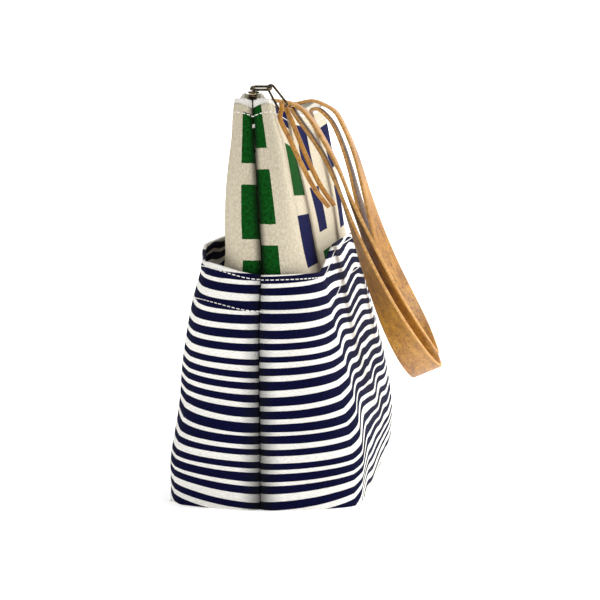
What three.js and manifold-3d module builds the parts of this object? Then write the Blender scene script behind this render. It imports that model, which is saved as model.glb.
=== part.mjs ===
// A tote bag standing on its base, with its zip closed and both handles hanging over the front side.
// Millimetres. X runs across the bag with the front at +X, Y along its length, Z up.
// The origin is in the middle of the underside of the base.
import * as THREE from 'three';
import { mergeVertices } from 'three/addons/utils/BufferGeometryUtils.js';
import Module from 'manifold-3d';

const wasm = await Module();
wasm.setup();

// The bag as a whole
const BAG_LENGTH = 430;
const BAG_HEIGHT = 297.5;
const BASE_THICKNESS = 140;
const MOUTH_THICKNESS = 28;
const POCKET_HEIGHT = 178;

const above = (share) => POCKET_HEIGHT + share * (BAG_HEIGHT - POCKET_HEIGHT);

// The body's side outline, from the base to the mouth. At each height: half the thickness at the ends,
// how far the middle leans, the belly at mid length as a share, how far the end pushes out at its seam,
// and the radius of the upright corners.
const SHAPE = [
  { z: 0, half: BASE_THICKNESS / 2, lean: -4, belly: 0.01, prow: 26, corner: 13 },
  { z: 10, half: BASE_THICKNESS / 2 - 0.3, lean: -4, belly: 0.02, prow: 27, corner: 15 },
  { z: 45, half: BASE_THICKNESS / 2 - 2.5, lean: -4, belly: 0.04, prow: 27, corner: 20 },
  { z: 90, half: 56.5, lean: -4.5, belly: 0.05, prow: 26, corner: 22 },
  { z: 134, half: 42, lean: -4, belly: 0.04, prow: 21, corner: 19 },
  { z: POCKET_HEIGHT, half: 30, lean: -3, belly: 0.02, prow: 14, corner: 14 },
  { z: above(0.28), half: 26.6, lean: -4.8, belly: 0, prow: 9, corner: 10 },
  { z: above(0.52), half: 22.9, lean: -6.5, belly: 0, prow: 6, corner: 8 },
  { z: above(0.893), half: 15.9, lean: -8.9, belly: 0, prow: 2, corner: 5 },
  { z: BAG_HEIGHT, half: MOUTH_THICKNESS / 2, lean: -9.5, belly: 0, prow: 1, corner: 4 },
];
const MOUTH_MIDDLE = SHAPE[SHAPE.length - 1].lean;

// The mouth dips between its ends, lowest a little past mid length
const MOUTH_DIP = 12;
const DIP_MIDDLE = 15;

// Cloth and the seams
const CANVAS = 1.2;
const LINING = 0.8;
const PLY_GAP = 0.35;
const SEAM_GAP = 0.4;
const SEAM_VALLEY = 2.6;
const SEAM_VALLEY_WIDTH = 5;
const FACING_DEPTH = 28;
const FACING_RISE = 2.4;

// The pockets stand open, and their edge rises from the seam: at the corners, and by another amount
// in the middle of the broad side
const FRONT_OPEN = { corner: 5, middle: 9, seamRise: -7, cornerRise: -6.5, middleRise: 9.5 };
const BACK_OPEN = { corner: 11, middle: 23, seamRise: -7, cornerRise: 1.5, middleRise: 9.5 };
const POCKET_OPEN_FROM = 40;
const POCKET_CORNER_RUN = 0.16;
const POCKET_SEAM_ROOM = 3.6;
const BINDING_DEPTH = 8;
const BINDING = 0.6;

// The zip lies along a shallow arc, so its slider runs round a far axis
const ZIP_RADIUS = 2230;
const ZIP_DROP = 6.4;
const ZIP_LOW = BAG_HEIGHT - ZIP_DROP;
const ZIP_NEAR = 6.2 - BAG_LENGTH / 2;
const ZIP_FAR = BAG_LENGTH / 2 - 9;
const TAPE = 0.8;
const TAPE_FLAT = 5.2;
const TAPE_HALF_WIDTH = 10.9;
const COIL_INNER = 0.95;
const COIL_WIDTH = 1.65;
const COIL_TOP = 0.7;
const COIL_BOTTOM = 0.9;
const STOP_LENGTH = 2.1;
const STOP_HALF_WIDTH = 2.6;

// Slider, ring and bail
const SLIDER_FROM_END = 5.8;
const SLIDER_AT = ZIP_NEAR + SLIDER_FROM_END;
const SLIDER_LENGTH = 10;
const SLIDER_WIDTH = 8.4;
const PLATE = 1.1;
const PLATE_GAP = 0.4;
const CROWN_WIDTH = 1.2;
const CROWN_SPAN = 8;
const CROWN_RISE = 4.2;
const CROWN_OPENING = 2.9;
const CROWN_FOOT = 1.2;
const RING_WIRE = 2;
const RING_LENGTH = 16.3;
const RING_WIDTH = 9.5;
const RING_CORNER = 2.5;
const RING_LEFT_REACH = 2.1;
const RING_TILT = 24;
const BAIL_WIRE = 1.8;
const BAIL_LENGTH = 21;
const BAIL_WIDTH = 9;
const BAIL_CORNER = 1.5;
const BAIL_SWING = 34;

// The lace, from its lower end up to the bail and back down
const LACE_WIDTH = 3.4;
const LACE_THICKNESS = 1.8;

// Straps
const STRAP_WIDTH = 25;
const STRAP = 2.6;
const STRAP_TUCKED = 1;
const TUCK_DEPTH = 21;
const STRAP_NEAR = -107;
const STRAP_FAR = 95;
const FAR_ARCH = 4;
const STRAP_CLEAR = 0.65;
const STRAP_EASE = 8;
const HANDLE_LEAN = 23;
const JOIN_GAP = 0.3;

// Grid counts
const END_STEPS = 5;
const SIDE_STEPS = 12;
const END_SHARE = 0.2;

const radians = THREE.MathUtils.degToRad;
const vector = (x, y, z) => new THREE.Vector3(x, y, z);
const halfLength = BAG_LENGTH / 2;

const colours = {
  canvas: { color: '#e4ded2', roughness: 0.9, metalness: 0 },
  pocket: { color: '#1d2260', roughness: 0.85, metalness: 0 },
  facing: { color: '#eeeae2', roughness: 0.9, metalness: 0 },
  tape: { color: '#8e8672', roughness: 0.8, metalness: 0 },
  metal: { color: '#6b604c', roughness: 0.35, metalness: 1 },
  cork: { color: '#b97a3d', roughness: 0.65, metalness: 0 },
  thread: { color: '#f4f2ec', roughness: 0.8, metalness: 0 },
};

const bag = new THREE.Group();

function piece(name, geometry, finish, parent = bag) {
  const mesh = new THREE.Mesh(geometry, new THREE.MeshStandardMaterial(colours[finish]));
  mesh.name = name;
  parent.add(mesh);
  return mesh;
}

// A closed body from a list of points and triangles, turned so that its faces point outwards
function solid(points, triangles) {
  let volume = 0;
  for (const [a, b, c] of triangles) {
    volume += points[a].dot(vector(0, 0, 0).crossVectors(points[b], points[c]));
  }
  const order = volume < 0 ? triangles.map(([a, b, c]) => [a, c, b]) : triangles;
  const geometry = new THREE.BufferGeometry();
  geometry.setAttribute('position', new THREE.Float32BufferAttribute(points.flatMap((p) => p.toArray()), 3));
  geometry.setIndex(order.flat());
  geometry.computeVertexNormals();
  return geometry;
}

// Two grids of points, one on each face of a sheet, closed round their edges
function sheet(outer, inner) {
  const rows = outer.length;
  const columns = outer[0].length;
  const points = [...outer.flat(), ...inner.flat()];
  const triangles = [];
  const at = (face, i, j) => face * rows * columns + i * columns + j;
  const quad = (a, b, c, d) => triangles.push([a, b, c], [a, c, d]);
  for (let i = 0; i < rows - 1; i += 1) {
    for (let j = 0; j < columns - 1; j += 1) {
      quad(at(0, i, j), at(0, i, j + 1), at(0, i + 1, j + 1), at(0, i + 1, j));
      quad(at(1, i, j), at(1, i + 1, j), at(1, i + 1, j + 1), at(1, i, j + 1));
    }
  }
  for (let j = 0; j < columns - 1; j += 1) {
    quad(at(0, 0, j), at(1, 0, j), at(1, 0, j + 1), at(0, 0, j + 1));
    quad(at(0, rows - 1, j + 1), at(1, rows - 1, j + 1), at(1, rows - 1, j), at(0, rows - 1, j));
  }
  for (let i = 0; i < rows - 1; i += 1) {
    quad(at(0, i + 1, 0), at(1, i + 1, 0), at(1, i, 0), at(0, i, 0));
    quad(at(0, i, columns - 1), at(1, i, columns - 1), at(1, i + 1, columns - 1), at(0, i + 1, columns - 1));
  }
  return solid(points, triangles);
}

// A section carried along frames, each with a place and two directions.
// It has flat ends, or closes on itself.
function sweep(frames, sectionAt, closed = false) {
  const first = sectionAt(0);
  const sides = first.length;
  const points = [];
  frames.forEach(({ at, u, v }, i) => {
    for (const [a, b] of sectionAt(i)) {
      points.push(at.clone().addScaledVector(u, a).addScaledVector(v, b));
    }
  });
  const triangles = [];
  const last = closed ? frames.length : frames.length - 1;
  for (let i = 0; i < last; i += 1) {
    const next = (i + 1) % frames.length;
    for (let k = 0; k < sides; k += 1) {
      const l = (k + 1) % sides;
      triangles.push([i * sides + k, next * sides + k, next * sides + l]);
      triangles.push([i * sides + k, next * sides + l, i * sides + l]);
    }
  }
  if (!closed) {
    const corners = first.map(([a, b]) => new THREE.Vector2(a, b));
    const start = (frames.length - 1) * sides;
    const winding = Math.sign(THREE.ShapeUtils.area(corners));
    for (const [a, b, c] of THREE.ShapeUtils.triangulateShape(corners, [])) {
      const own = Math.sign(THREE.ShapeUtils.area([corners[a], corners[b], corners[c]]));
      const face = own === winding ? [a, b, c] : [a, c, b];
      triangles.push(face);
      triangles.push([start + face[0], start + face[2], start + face[1]]);
    }
  }
  return solid(points, triangles);
}

function manifold(geometry) {
  const plain = geometry.clone();
  plain.deleteAttribute('normal');
  plain.deleteAttribute('uv');
  const merged = mergeVertices(plain, 1e-4);
  return new wasm.Manifold(
    new wasm.Mesh({
      numProp: 3,
      vertProperties: new Float32Array(merged.attributes.position.array),
      triVerts: new Uint32Array(merged.index.array),
    }),
  );
}

function geometryOf(body) {
  const mesh = body.getMesh();
  const geometry = new THREE.BufferGeometry();
  geometry.setAttribute('position', new THREE.BufferAttribute(new Float32Array(mesh.vertProperties), 3));
  geometry.setIndex(new THREE.BufferAttribute(new Uint32Array(mesh.triVerts), 1));
  geometry.computeVertexNormals();
  return geometry;
}

const smooth = (t) => THREE.MathUtils.smoothstep(t, 0, 1);

// The body's shape at a height, eased between the rows of SHAPE
function shapeAt(z) {
  let i = 0;
  while (i < SHAPE.length - 2 && z > SHAPE[i + 1].z) i += 1;
  const low = SHAPE[i];
  const high = SHAPE[i + 1];
  const under = SHAPE[Math.max(i - 1, 0)];
  const over = SHAPE[Math.min(i + 2, SHAPE.length - 1)];
  const run = high.z - low.z;
  const t = (z - low.z) / run;
  const result = {};
  for (const key of ['half', 'lean', 'belly', 'prow', 'corner']) {
    const rise = ((high[key] - under[key]) / (high.z - under.z)) * run;
    const fall = ((over[key] - low[key]) / (over.z - low.z)) * run;
    const a = 2 * t ** 3 - 3 * t ** 2 + 1;
    const b = t ** 3 - 2 * t ** 2 + t;
    const c = -2 * t ** 3 + 3 * t ** 2;
    const d = t ** 3 - t ** 2;
    result[key] = a * low[key] + b * rise + c * high[key] + d * fall;
  }
  return result;
}

// Half of a rounded rectangle, from the near seam at u = 0 to the far seam at u = 1
function roundedHalf(u, half, corner) {
  const far = u > 0.5;
  const v = far ? 1 - u : u;
  const eighth = (corner * Math.PI) / 4;
  const flat = half - corner;
  let x;
  let y;
  if (v < END_SHARE) {
    const s = (v / END_SHARE) * (flat + eighth);
    const angle = Math.max(0, s - flat) / corner;
    x = Math.min(s, flat) + corner * Math.sin(angle);
    y = -halfLength + corner * (1 - Math.cos(angle));
  } else {
    const s = ((v - END_SHARE) / (0.5 - END_SHARE)) * (halfLength - corner + eighth);
    const angle = Math.PI / 4 + Math.min(s, eighth) / corner;
    x = flat + corner * Math.sin(angle);
    y = -halfLength + corner * (1 - Math.cos(angle)) + Math.max(0, s - eighth);
  }
  return [x, far ? -y : y];
}

const mouthDip = (y) => MOUTH_DIP * (1 - ((y - DIP_MIDDLE) / (halfLength + DIP_MIDDLE)) ** 2);
const mouthTop = (y) => BAG_HEIGHT - mouthDip(y);

// Where the skin lies in plan, before it is set to the front or the back
function planAt(u, z) {
  const s = shapeAt(z);
  const [x, y] = roundedHalf(u, s.half, s.corner);
  const along = y / halfLength;
  const across = x / s.half;
  const valley = SEAM_VALLEY * Math.exp(-((x / SEAM_VALLEY_WIDTH) ** 2));
  return {
    x: Math.max(x * (1 + s.belly * (1 - along ** 2)), SEAM_GAP / 2),
    y: y * (1 - (s.prow / halfLength) * across ** 2) - Math.sign(y) * (Math.abs(along) > 0.9 ? valley : 0),
    lean: s.lean,
  };
}

// A point of the outer skin on one side (front 1, back -1), moved outwards by some distance
function skin(side, u, z, outwards) {
  const step = 1e-3;
  const here = planAt(u, z);
  const before = planAt(Math.max(u - step, 0), z);
  const after = planAt(Math.min(u + step, 1), z);
  const normal = new THREE.Vector2(after.y - before.y, before.x - after.x).normalize();
  const up = (z - POCKET_HEIGHT) / (BAG_HEIGHT - POCKET_HEIGHT);
  const x = Math.max(here.x + normal.x * outwards, SEAM_GAP / 2);
  const y = here.y + normal.y * outwards;
  return vector(here.lean + side * x, y, z - mouthDip(here.y) * smooth(Math.max(up, 0)));
}

// Columns gather at the ends; rows always include the pocket's top and its binding's lower edge
const columns = [];
for (let i = 0; i <= END_STEPS; i += 1) columns.push((END_SHARE * i) / END_STEPS);
for (let i = 1; i <= SIDE_STEPS; i += 1) columns.push(END_SHARE + ((1 - 2 * END_SHARE) * i) / SIDE_STEPS);
for (let i = 1; i <= END_STEPS; i += 1) columns.push(1 - END_SHARE + (END_SHARE * i) / END_STEPS);

function rowsBetween(low, high, count) {
  return Array.from({ length: count + 1 }, (_, i) => low + ((high - low) * i) / count);
}

const bindingFoot = POCKET_HEIGHT - BINDING_DEPTH;
const facingFoot = BAG_HEIGHT - FACING_DEPTH;
const pocketRows = [0, 4, 10, ...rowsBetween(24, bindingFoot, 7), POCKET_HEIGHT];
const upperRows = rowsBetween(POCKET_HEIGHT, facingFoot, 4).slice(1);
const bodyRows = [...pocketRows, ...upperRows, facingFoot + FACING_DEPTH / 2, BAG_HEIGHT];
const liningTop = facingFoot - PLY_GAP - MOUTH_DIP / 5;
const liningRows = [...pocketRows.slice(1), ...upperRows.slice(0, -1), liningTop];

function grid(side, rows, pointAt, outwards) {
  return rows.map((z) => columns.map((u) => pointAt(side, u, z, outwards)));
}

// A point of a pocket's inner face, moved outwards by some distance
function pocketSkin(side, u, z, outwards) {
  const open = side > 0 ? FRONT_OPEN : BACK_OPEN;
  const up = smooth((z - POCKET_OPEN_FROM) / (POCKET_HEIGHT - POCKET_OPEN_FROM));
  const v = Math.min(u, 1 - u);
  const fromSeam = smooth(v / END_SHARE);
  const inwards = smooth((v - END_SHARE) / POCKET_CORNER_RUN);
  const from = open.seamRise + (open.cornerRise - open.seamRise) * fromSeam;
  const rise = up * (from + (open.middleRise - open.cornerRise) * inwards);
  const point = skin(side, u, z + rise, PLY_GAP + POCKET_SEAM_ROOM * up + outwards);
  point.x += side * up * (open.corner * fromSeam + (open.middle - open.corner) * inwards);
  return point;
}

function makePanel(name, side) {
  piece(name, sheet(grid(side, bodyRows, skin, 0), grid(side, bodyRows, skin, -CANVAS)), 'canvas');
}

function makeLining(name, side) {
  const face = -CANVAS - 2 * PLY_GAP;
  const outer = grid(side, liningRows, skin, face);
  const inner = grid(side, liningRows, skin, face - LINING);
  piece(name, sheet(outer, inner), 'facing');
}

function makePocket(name, side) {
  const inner = grid(side, pocketRows, pocketSkin, 0);
  const outer = grid(side, pocketRows, pocketSkin, CANVAS);
  piece(name, sheet(outer, inner), 'pocket');
}

// Frames along an upper edge, with u pointing out of the cloth and v up along it
function edgeFrames(side, top, foot, pointAt) {
  const frames = columns.map((u) => {
    const at = pointAt(side, u, top, 0);
    const below = pointAt(side, u, foot, 0);
    const beyond = pointAt(side, u, top, 1);
    const v = at.clone().sub(below).normalize();
    const out = beyond.sub(at);
    out.addScaledVector(v, -out.dot(v)).normalize();
    return { at, u: out, v };
  });
  drawIn(frames[0], frames[1]);
  drawIn(frames[frames.length - 1], frames[frames.length - 2]);
  return frames;
}

// An end frame moves a little way towards its neighbour, which keeps it clear of the seam
function drawIn(frame, neighbour) {
  const share = 0.3;
  frame.at.lerp(neighbour.at, share);
  frame.u.lerp(neighbour.u, share).normalize();
  frame.v.lerp(neighbour.v, share).normalize();
}

function makeBinding(name, side) {
  const inner = -PLY_GAP;
  const outer = CANVAS + PLY_GAP;
  const section = [
    [outer, -BINDING_DEPTH],
    [outer + BINDING, -BINDING_DEPTH],
    [outer + BINDING, PLY_GAP + BINDING],
    [inner - BINDING, PLY_GAP + BINDING],
    [inner - BINDING, -BINDING_DEPTH],
    [inner, -BINDING_DEPTH],
    [inner, PLY_GAP],
    [outer, PLY_GAP],
  ];
  piece(name, sweep(edgeFrames(side, POCKET_HEIGHT, bindingFoot, pocketSkin), () => section), 'pocket');
}

// The facing lines the mouth and shows as a thin pale lip above the canvas
function facingBody(side) {
  const face = -CANVAS - PLY_GAP;
  const section = [
    [face - LINING, -FACING_DEPTH],
    [face, -FACING_DEPTH],
    [face, PLY_GAP],
    [-PLY_GAP, PLY_GAP],
    [-PLY_GAP, FACING_RISE - LINING],
    [-CANVAS, FACING_RISE],
    [face - LINING, FACING_RISE - PLY_GAP],
  ];
  return manifold(sweep(edgeFrames(side, BAG_HEIGHT, facingFoot, skin), () => section));
}

function makeBase() {
  const inset = -CANVAS - PLY_GAP;
  const front = columns.map((u) => skin(1, u, 0, inset));
  const back = columns.map((u) => skin(-1, u, 0, inset)).reverse();
  const outline = [...front, ...back].map((p) => new THREE.Vector2(p.x, p.y));
  const slab = { depth: CANVAS, bevelEnabled: false };
  piece('base_panel', new THREE.ExtrudeGeometry(new THREE.Shape(outline), slab), 'pocket');
  const liningGeometry = new THREE.ExtrudeGeometry(new THREE.Shape(outline), { ...slab, depth: LINING });
  const base = piece('lining_base', liningGeometry, 'facing');
  base.position.z = CANVAS + PLY_GAP;
}

// Zip
const zipHeight = (y) => ZIP_LOW + (y - DIP_MIDDLE) ** 2 / (2 * ZIP_RADIUS);
const zipSlope = (y) => Math.atan((y - DIP_MIDDLE) / ZIP_RADIUS);

function zipFrames(near, far, side, count = 24) {
  return rowsBetween(near, far, count).map((y) => {
    return { at: vector(MOUTH_MIDDLE, y, zipHeight(y)), u: vector(side, 0, 0), v: vector(0, 0, 1) };
  });
}

function makeTape(name, side) {
  const frames = zipFrames(ZIP_NEAR, ZIP_FAR, side);
  const inner = COIL_INNER + COIL_WIDTH + PLY_GAP;
  const section = (i) => {
    const y = frames[i].at.y;
    const drop = mouthTop(y) + PLY_GAP - zipHeight(y);
    return [
      [inner, 0],
      [TAPE_FLAT, 0],
      [TAPE_HALF_WIDTH, drop],
      [TAPE_HALF_WIDTH, drop - TAPE],
      [TAPE_FLAT, -TAPE],
      [inner, -TAPE],
    ];
  };
  piece(name, sweep(frames, section), 'tape');
}

function makeCoil(name, side) {
  const outer = COIL_INNER + COIL_WIDTH;
  const section = [
    [COIL_INNER, -COIL_BOTTOM],
    [outer, -COIL_BOTTOM],
    [outer, COIL_TOP],
    [COIL_INNER, COIL_TOP],
  ];
  piece(name, sweep(zipFrames(ZIP_NEAR, ZIP_FAR, side), () => section), 'tape');
}

function makeStop(name, y) {
  const block = new THREE.BoxGeometry(2 * STOP_HALF_WIDTH, STOP_LENGTH, COIL_TOP + COIL_BOTTOM);
  const stop = piece(name, block, 'metal');
  stop.position.set(MOUTH_MIDDLE, y, zipHeight(y));
}

// Slider, built about its own middle on the coil's centre line, then set at its place on the arc
const topPlate = COIL_TOP + PLATE_GAP;
const wireHeight = topPlate + PLATE + PLY_GAP + RING_WIRE / 2;
const sliderPlace = new THREE.Group();
sliderPlace.position.set(MOUTH_MIDDLE, SLIDER_AT, zipHeight(SLIDER_AT));
sliderPlace.rotation.x = zipSlope(SLIDER_AT);
bag.add(sliderPlace);

function box(width, length, height, x, y, z) {
  return manifold(new THREE.BoxGeometry(width, length, height).translate(x, y, z));
}

function makeSlider() {
  const bottomPlate = -COIL_BOTTOM - PLATE_GAP - PLATE;
  const upper = box(SLIDER_WIDTH, SLIDER_LENGTH, PLATE, 0, 0, topPlate + PLATE / 2);
  const lower = box(SLIDER_WIDTH, SLIDER_LENGTH, PLATE, 0, 0, bottomPlate + PLATE / 2);
  const postHeight = topPlate - bottomPlate + PLATE / 2;
  const postLength = 3;
  const postY = (postLength - SLIDER_LENGTH) / 2;
  const postWidth = 2 * (COIL_INNER - PLY_GAP);
  const post = box(postWidth, postLength, postHeight, 0, postY, bottomPlate + postHeight / 2);
  const base = topPlate + PLATE;
  const arch = box(CROWN_WIDTH, CROWN_SPAN, CROWN_RISE, 0, 0, base + CROWN_RISE / 2);
  const inside = CROWN_SPAN - 2 * CROWN_FOOT;
  const eye = box(2 * CROWN_WIDTH, inside, CROWN_OPENING, 0, 0, base + CROWN_OPENING / 2);
  const body = upper.add(lower).add(post).add(arch.subtract(eye));
  piece('slider_body', geometryOf(body), 'metal', sliderPlace);
}

// A round wire bent round a closed path that lies in the plane of two directions
function wireLoop(path, plane, wire, sides = 8) {
  const around = new THREE.CatmullRomCurve3(path, true, 'centripetal');
  const count = 48;
  const frames = Array.from({ length: count }, (_, i) => {
    const tangent = around.getTangentAt(i / count);
    const v = vector(0, 0, 0).crossVectors(tangent, plane).normalize();
    return { at: around.getPointAt(i / count), u: plane, v };
  });
  const section = Array.from({ length: sides }, (_, k) => {
    const angle = (2 * Math.PI * (k + 0.5)) / sides;
    return [(wire / 2) * Math.cos(angle), (wire / 2) * Math.sin(angle)];
  });
  return sweep(frames, () => section, true);
}

// Points round a rounded rectangle from (0, 0) to (length, width), with its near side along the first way
function roundedPath(start, first, second, length, width, corner) {
  const centres = [
    [length - corner, corner, -90],
    [length - corner, width - corner, 0],
    [corner, width - corner, 90],
    [corner, corner, 180],
  ];
  const steps = 4;
  return centres.flatMap(([a, b, from]) =>
    Array.from({ length: steps + 1 }, (_, i) => {
      const angle = radians(from + (90 * i) / steps);
      const x = a + corner * Math.cos(angle);
      const y = b + corner * Math.sin(angle);
      return start.clone().addScaledVector(first, x).addScaledVector(second, y);
    }),
  );
}

// The ring lies flat beyond the crown, reaching towards the front; its near side runs through the crown
const ringStart = vector(-RING_LEFT_REACH, (RING_WIRE - CROWN_SPAN) / 2 + CROWN_FOOT + PLY_GAP, wireHeight);
const ringLength = RING_LENGTH - RING_WIRE;
const ringWidth = RING_WIDTH - RING_WIRE;
const ringAway = vector(0, Math.cos(radians(RING_TILT)), Math.sin(radians(RING_TILT)));

function makeRing() {
  const across = vector(1, 0, 0);
  const path = roundedPath(ringStart, across, ringAway, ringLength, ringWidth, RING_CORNER);
  const plane = vector(0, 0, 0).crossVectors(across, ringAway);
  piece('pull_ring', wireLoop(path, plane, RING_WIRE), 'metal', sliderPlace);
}

// The bail hangs from the far end of the ring, in the plane across the zip
const bailDown = vector(Math.sin(radians(BAIL_SWING)), 0, -Math.cos(radians(BAIL_SWING)));
const bailAcross = vector(Math.cos(radians(BAIL_SWING)), 0, Math.sin(radians(BAIL_SWING)));
const bailPin = ringStart.clone().addScaledVector(ringAway, ringWidth / 2).add(vector(ringLength, 0, 0));
const bailBend = (RING_WIRE + BAIL_WIRE) / 2 + PLY_GAP;
const bailFoot = BAIL_LENGTH - BAIL_WIRE - bailBend;

// It bends round the ring and widens towards its foot
function makeBail() {
  const inner = (BAIL_WIDTH - BAIL_WIRE) / 2 - BAIL_CORNER;
  const low = bailFoot - BAIL_CORNER;
  const steps = 6;
  const arc = (down, across, radius, from, to) =>
    rowsBetween(from, to, steps).map((degrees) => {
      const a = down + radius * Math.cos(radians(degrees));
      const b = across + radius * Math.sin(radians(degrees));
      return bailPin.clone().addScaledVector(bailDown, a).addScaledVector(bailAcross, b);
    });
  const path = [
    ...arc(0, 0, bailBend, 95, 265),
    ...arc(low, -inner, BAIL_CORNER, -85, 0),
    ...arc(low, inner, BAIL_CORNER, 0, 85),
  ];
  piece('pull_bail', wireLoop(path, vector(0, 1, 0), BAIL_WIRE), 'metal', sliderPlace);
}

// A place beside the bag: out from the middle of the mouth, along the bag, and down from the mouth
const hang = (out, y, drop) => vector(MOUTH_MIDDLE + out, y, BAG_HEIGHT - drop);

// The lace hangs in one piece over the lower end of the bail; its route is chosen by hand
function makeLace() {
  sliderPlace.updateMatrix();
  const foot = bailPin.clone().addScaledVector(bailDown, bailFoot);
  foot.applyMatrix4(sliderPlace.matrix);
  const room = (BAIL_WIRE + LACE_THICKNESS) / 2 + 4 * PLY_GAP;
  const turn = foot.clone().addScaledVector(bailDown, -room);
  const route = [
    hang(51.5, SLIDER_AT + 34, 78),
    hang(42.5, SLIDER_AT + 23, 65),
    hang(33.5, SLIDER_AT + 12, 46),
    hang(25.5, SLIDER_AT + 3, 27),
    hang(19.5, foot.y - room - 1, 12.5),
    foot.clone().add(vector(-1, -room, 0)),
    turn,
    foot.clone().add(vector(0.6, room + 0.6, 0)),
    hang(25.5, foot.y + room + 1.6, 11),
    hang(30.5, SLIDER_AT + 10, 24.5),
    hang(37.5, SLIDER_AT + 18, 43),
    hang(46.5, SLIDER_AT + 29, 63),
    hang(55, SLIDER_AT + 39.5, 77),
  ];
  const curve = new THREE.CatmullRomCurve3(route, false, 'centripetal');
  const count = 60;
  const frames = Array.from({ length: count + 1 }, (_, i) => {
    const tangent = curve.getTangentAt(i / count);
    const wide = vector(0, 0, 0).crossVectors(tangent, vector(0, 1, 0));
    const lean = Math.hypot(wide.x, wide.z) > 0.05 ? wide : bailAcross.clone();
    lean.addScaledVector(tangent, -lean.dot(tangent)).normalize();
    return { at: curve.getPointAt(i / count), u: lean, v: vector(0, 0, 0).crossVectors(tangent, lean) };
  });
  let previous = frames[0].u;
  frames.forEach((frame) => {
    if (frame.u.dot(previous) < 0) {
      frame.u.negate();
      frame.v.negate();
    }
    previous = frame.u;
  });
  const w = LACE_WIDTH / 2;
  const t = LACE_THICKNESS / 2;
  piece('pull_lace', sweep(frames, () => [[-w, -t], [w, -t], [w, t], [-w, t]]), 'cork');
}

// Handles. Each is one strap: tucked into the hem, bent over the mouth and hanging in a loop at the front.
const strapCentre = COIL_TOP + STRAP_CLEAR + STRAP / 2;
const hemInside = MOUTH_THICKNESS / 2 - CANVAS - PLY_GAP - STRAP_TUCKED / 2 - 0.05;

// From inside the back hem over the zip, and from inside the front hem over the edge.
// The far end of each strap arches more loosely than the near end.
function backEnd(y, arch) {
  const top = mouthTop(y);
  const crest = Math.max(zipHeight(y - STRAP_WIDTH / 2), zipHeight(y + STRAP_WIDTH / 2)) + strapCentre;
  return [
    vector(MOUTH_MIDDLE - hemInside - 1.6, y, top - TUCK_DEPTH),
    vector(MOUTH_MIDDLE - hemInside - 0.15, y, top - 3),
    vector(MOUTH_MIDDLE - hemInside + 0.2, y, top + 2),
    vector(MOUTH_MIDDLE - 9.6, y, crest - 1.6),
    vector(MOUTH_MIDDLE - 4, y, crest + 0.2 + 0.1 * arch),
    vector(MOUTH_MIDDLE + 4, y, crest + 0.3 + 0.4 * arch),
    vector(MOUTH_MIDDLE + 15, y, crest - 1.2 + 1.2 * arch),
    vector(MOUTH_MIDDLE + 25, y, crest - 5.8 + 1.4 * arch),
  ];
}

function frontEnd(y, arch) {
  const top = mouthTop(y);
  return [
    vector(MOUTH_MIDDLE + hemInside + 1.6, y, top - TUCK_DEPTH),
    vector(MOUTH_MIDDLE + hemInside + 0.15, y, top - 3),
    vector(MOUTH_MIDDLE + hemInside, y, top + 1),
    vector(MOUTH_MIDDLE + 14.2, y, top + 3.4 + 0.45 * arch),
    vector(MOUTH_MIDDLE + 17.6 + 0.5 * arch, y, top + 3.4 + 0.4 * arch),
    vector(MOUTH_MIDDLE + 20 + arch, y, top - 0.2 + 0.55 * arch),
  ];
}

const backNearLeg = [
  hang(31.5, STRAP_NEAR, 12.5),
  hang(43, STRAP_NEAR, 31),
  hang(53, STRAP_NEAR, 50),
  hang(62, STRAP_NEAR + 2, 73),
  hang(74.5, STRAP_NEAR + 9, 104),
  hang(86, STRAP_NEAR + 19, 134),
  hang(97.5, STRAP_NEAR + 38, 164.5),
  hang(106.5, STRAP_NEAR + 63, 187),
];
const backFoot = hang(115, -5, 206.5);
const backFarLeg = [
  hang(105.5, STRAP_FAR - 56, 189),
  hang(92.5, STRAP_FAR - 29, 163.5),
  hang(80, STRAP_FAR - 14, 135),
  hang(69, STRAP_FAR - 6, 104),
  hang(60, STRAP_FAR - 2, 75),
  hang(51.5, STRAP_FAR, 46),
  hang(42.5, STRAP_FAR, 23.5),
  hang(33.5, STRAP_FAR, 7.5),
];
const frontNearLeg = [
  hang(25, STRAP_NEAR, 16),
  hang(34, STRAP_NEAR, 28.5),
  hang(43, STRAP_NEAR, 43),
  hang(51.5, STRAP_NEAR + 1, 62),
  hang(65, STRAP_NEAR + 5, 98.5),
  hang(80, STRAP_NEAR + 14, 138),
  hang(93, STRAP_NEAR + 28, 169),
  hang(108, STRAP_NEAR + 60, 201),
];
const frontFoot = hang(117, -5, 217);
const frontFarLeg = [
  hang(107.5, STRAP_FAR - 45, 202.5),
  hang(92, STRAP_FAR - 21, 176.5),
  hang(78, STRAP_FAR - 9, 147),
  hang(65, STRAP_FAR - 3, 116),
  hang(54, STRAP_FAR - 1, 84),
  hang(46, STRAP_FAR, 54.5),
  hang(38, STRAP_FAR, 31),
  hang(31, STRAP_FAR, 16.5),
];

const loopOut = vector(Math.cos(radians(HANDLE_LEAN)), 0, Math.sin(radians(HANDLE_LEAN)));

// Frames along a whole strap. Its upper face turns from facing away from the bag to facing into the loop.
function strapFrames(curve, from, to, count, start, foot, end) {
  return rowsBetween(from, to, count).map((s) => {
    const tangent = curve.getTangentAt(s);
    const near = s < foot;
    const share = near ? (s - start) / (foot - start) : (end - s) / (end - foot);
    const turn = (Math.PI / 2) * Math.sin((Math.PI / 2) * THREE.MathUtils.clamp(share, 0, 1) ** 2.3);
    const away = vector(0, 0, 0).crossVectors(tangent, vector(0, near ? 1 : -1, 0)).normalize();
    const inside = vector(0, 0, 0).crossVectors(loopOut, tangent).normalize();
    const v = away.multiplyScalar(Math.cos(turn)).addScaledVector(inside, Math.sin(turn));
    v.addScaledVector(tangent, -v.dot(tangent)).normalize();
    return { at: curve.getPointAt(s), u: vector(0, 0, 0).crossVectors(tangent, v), v };
  });
}

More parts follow.
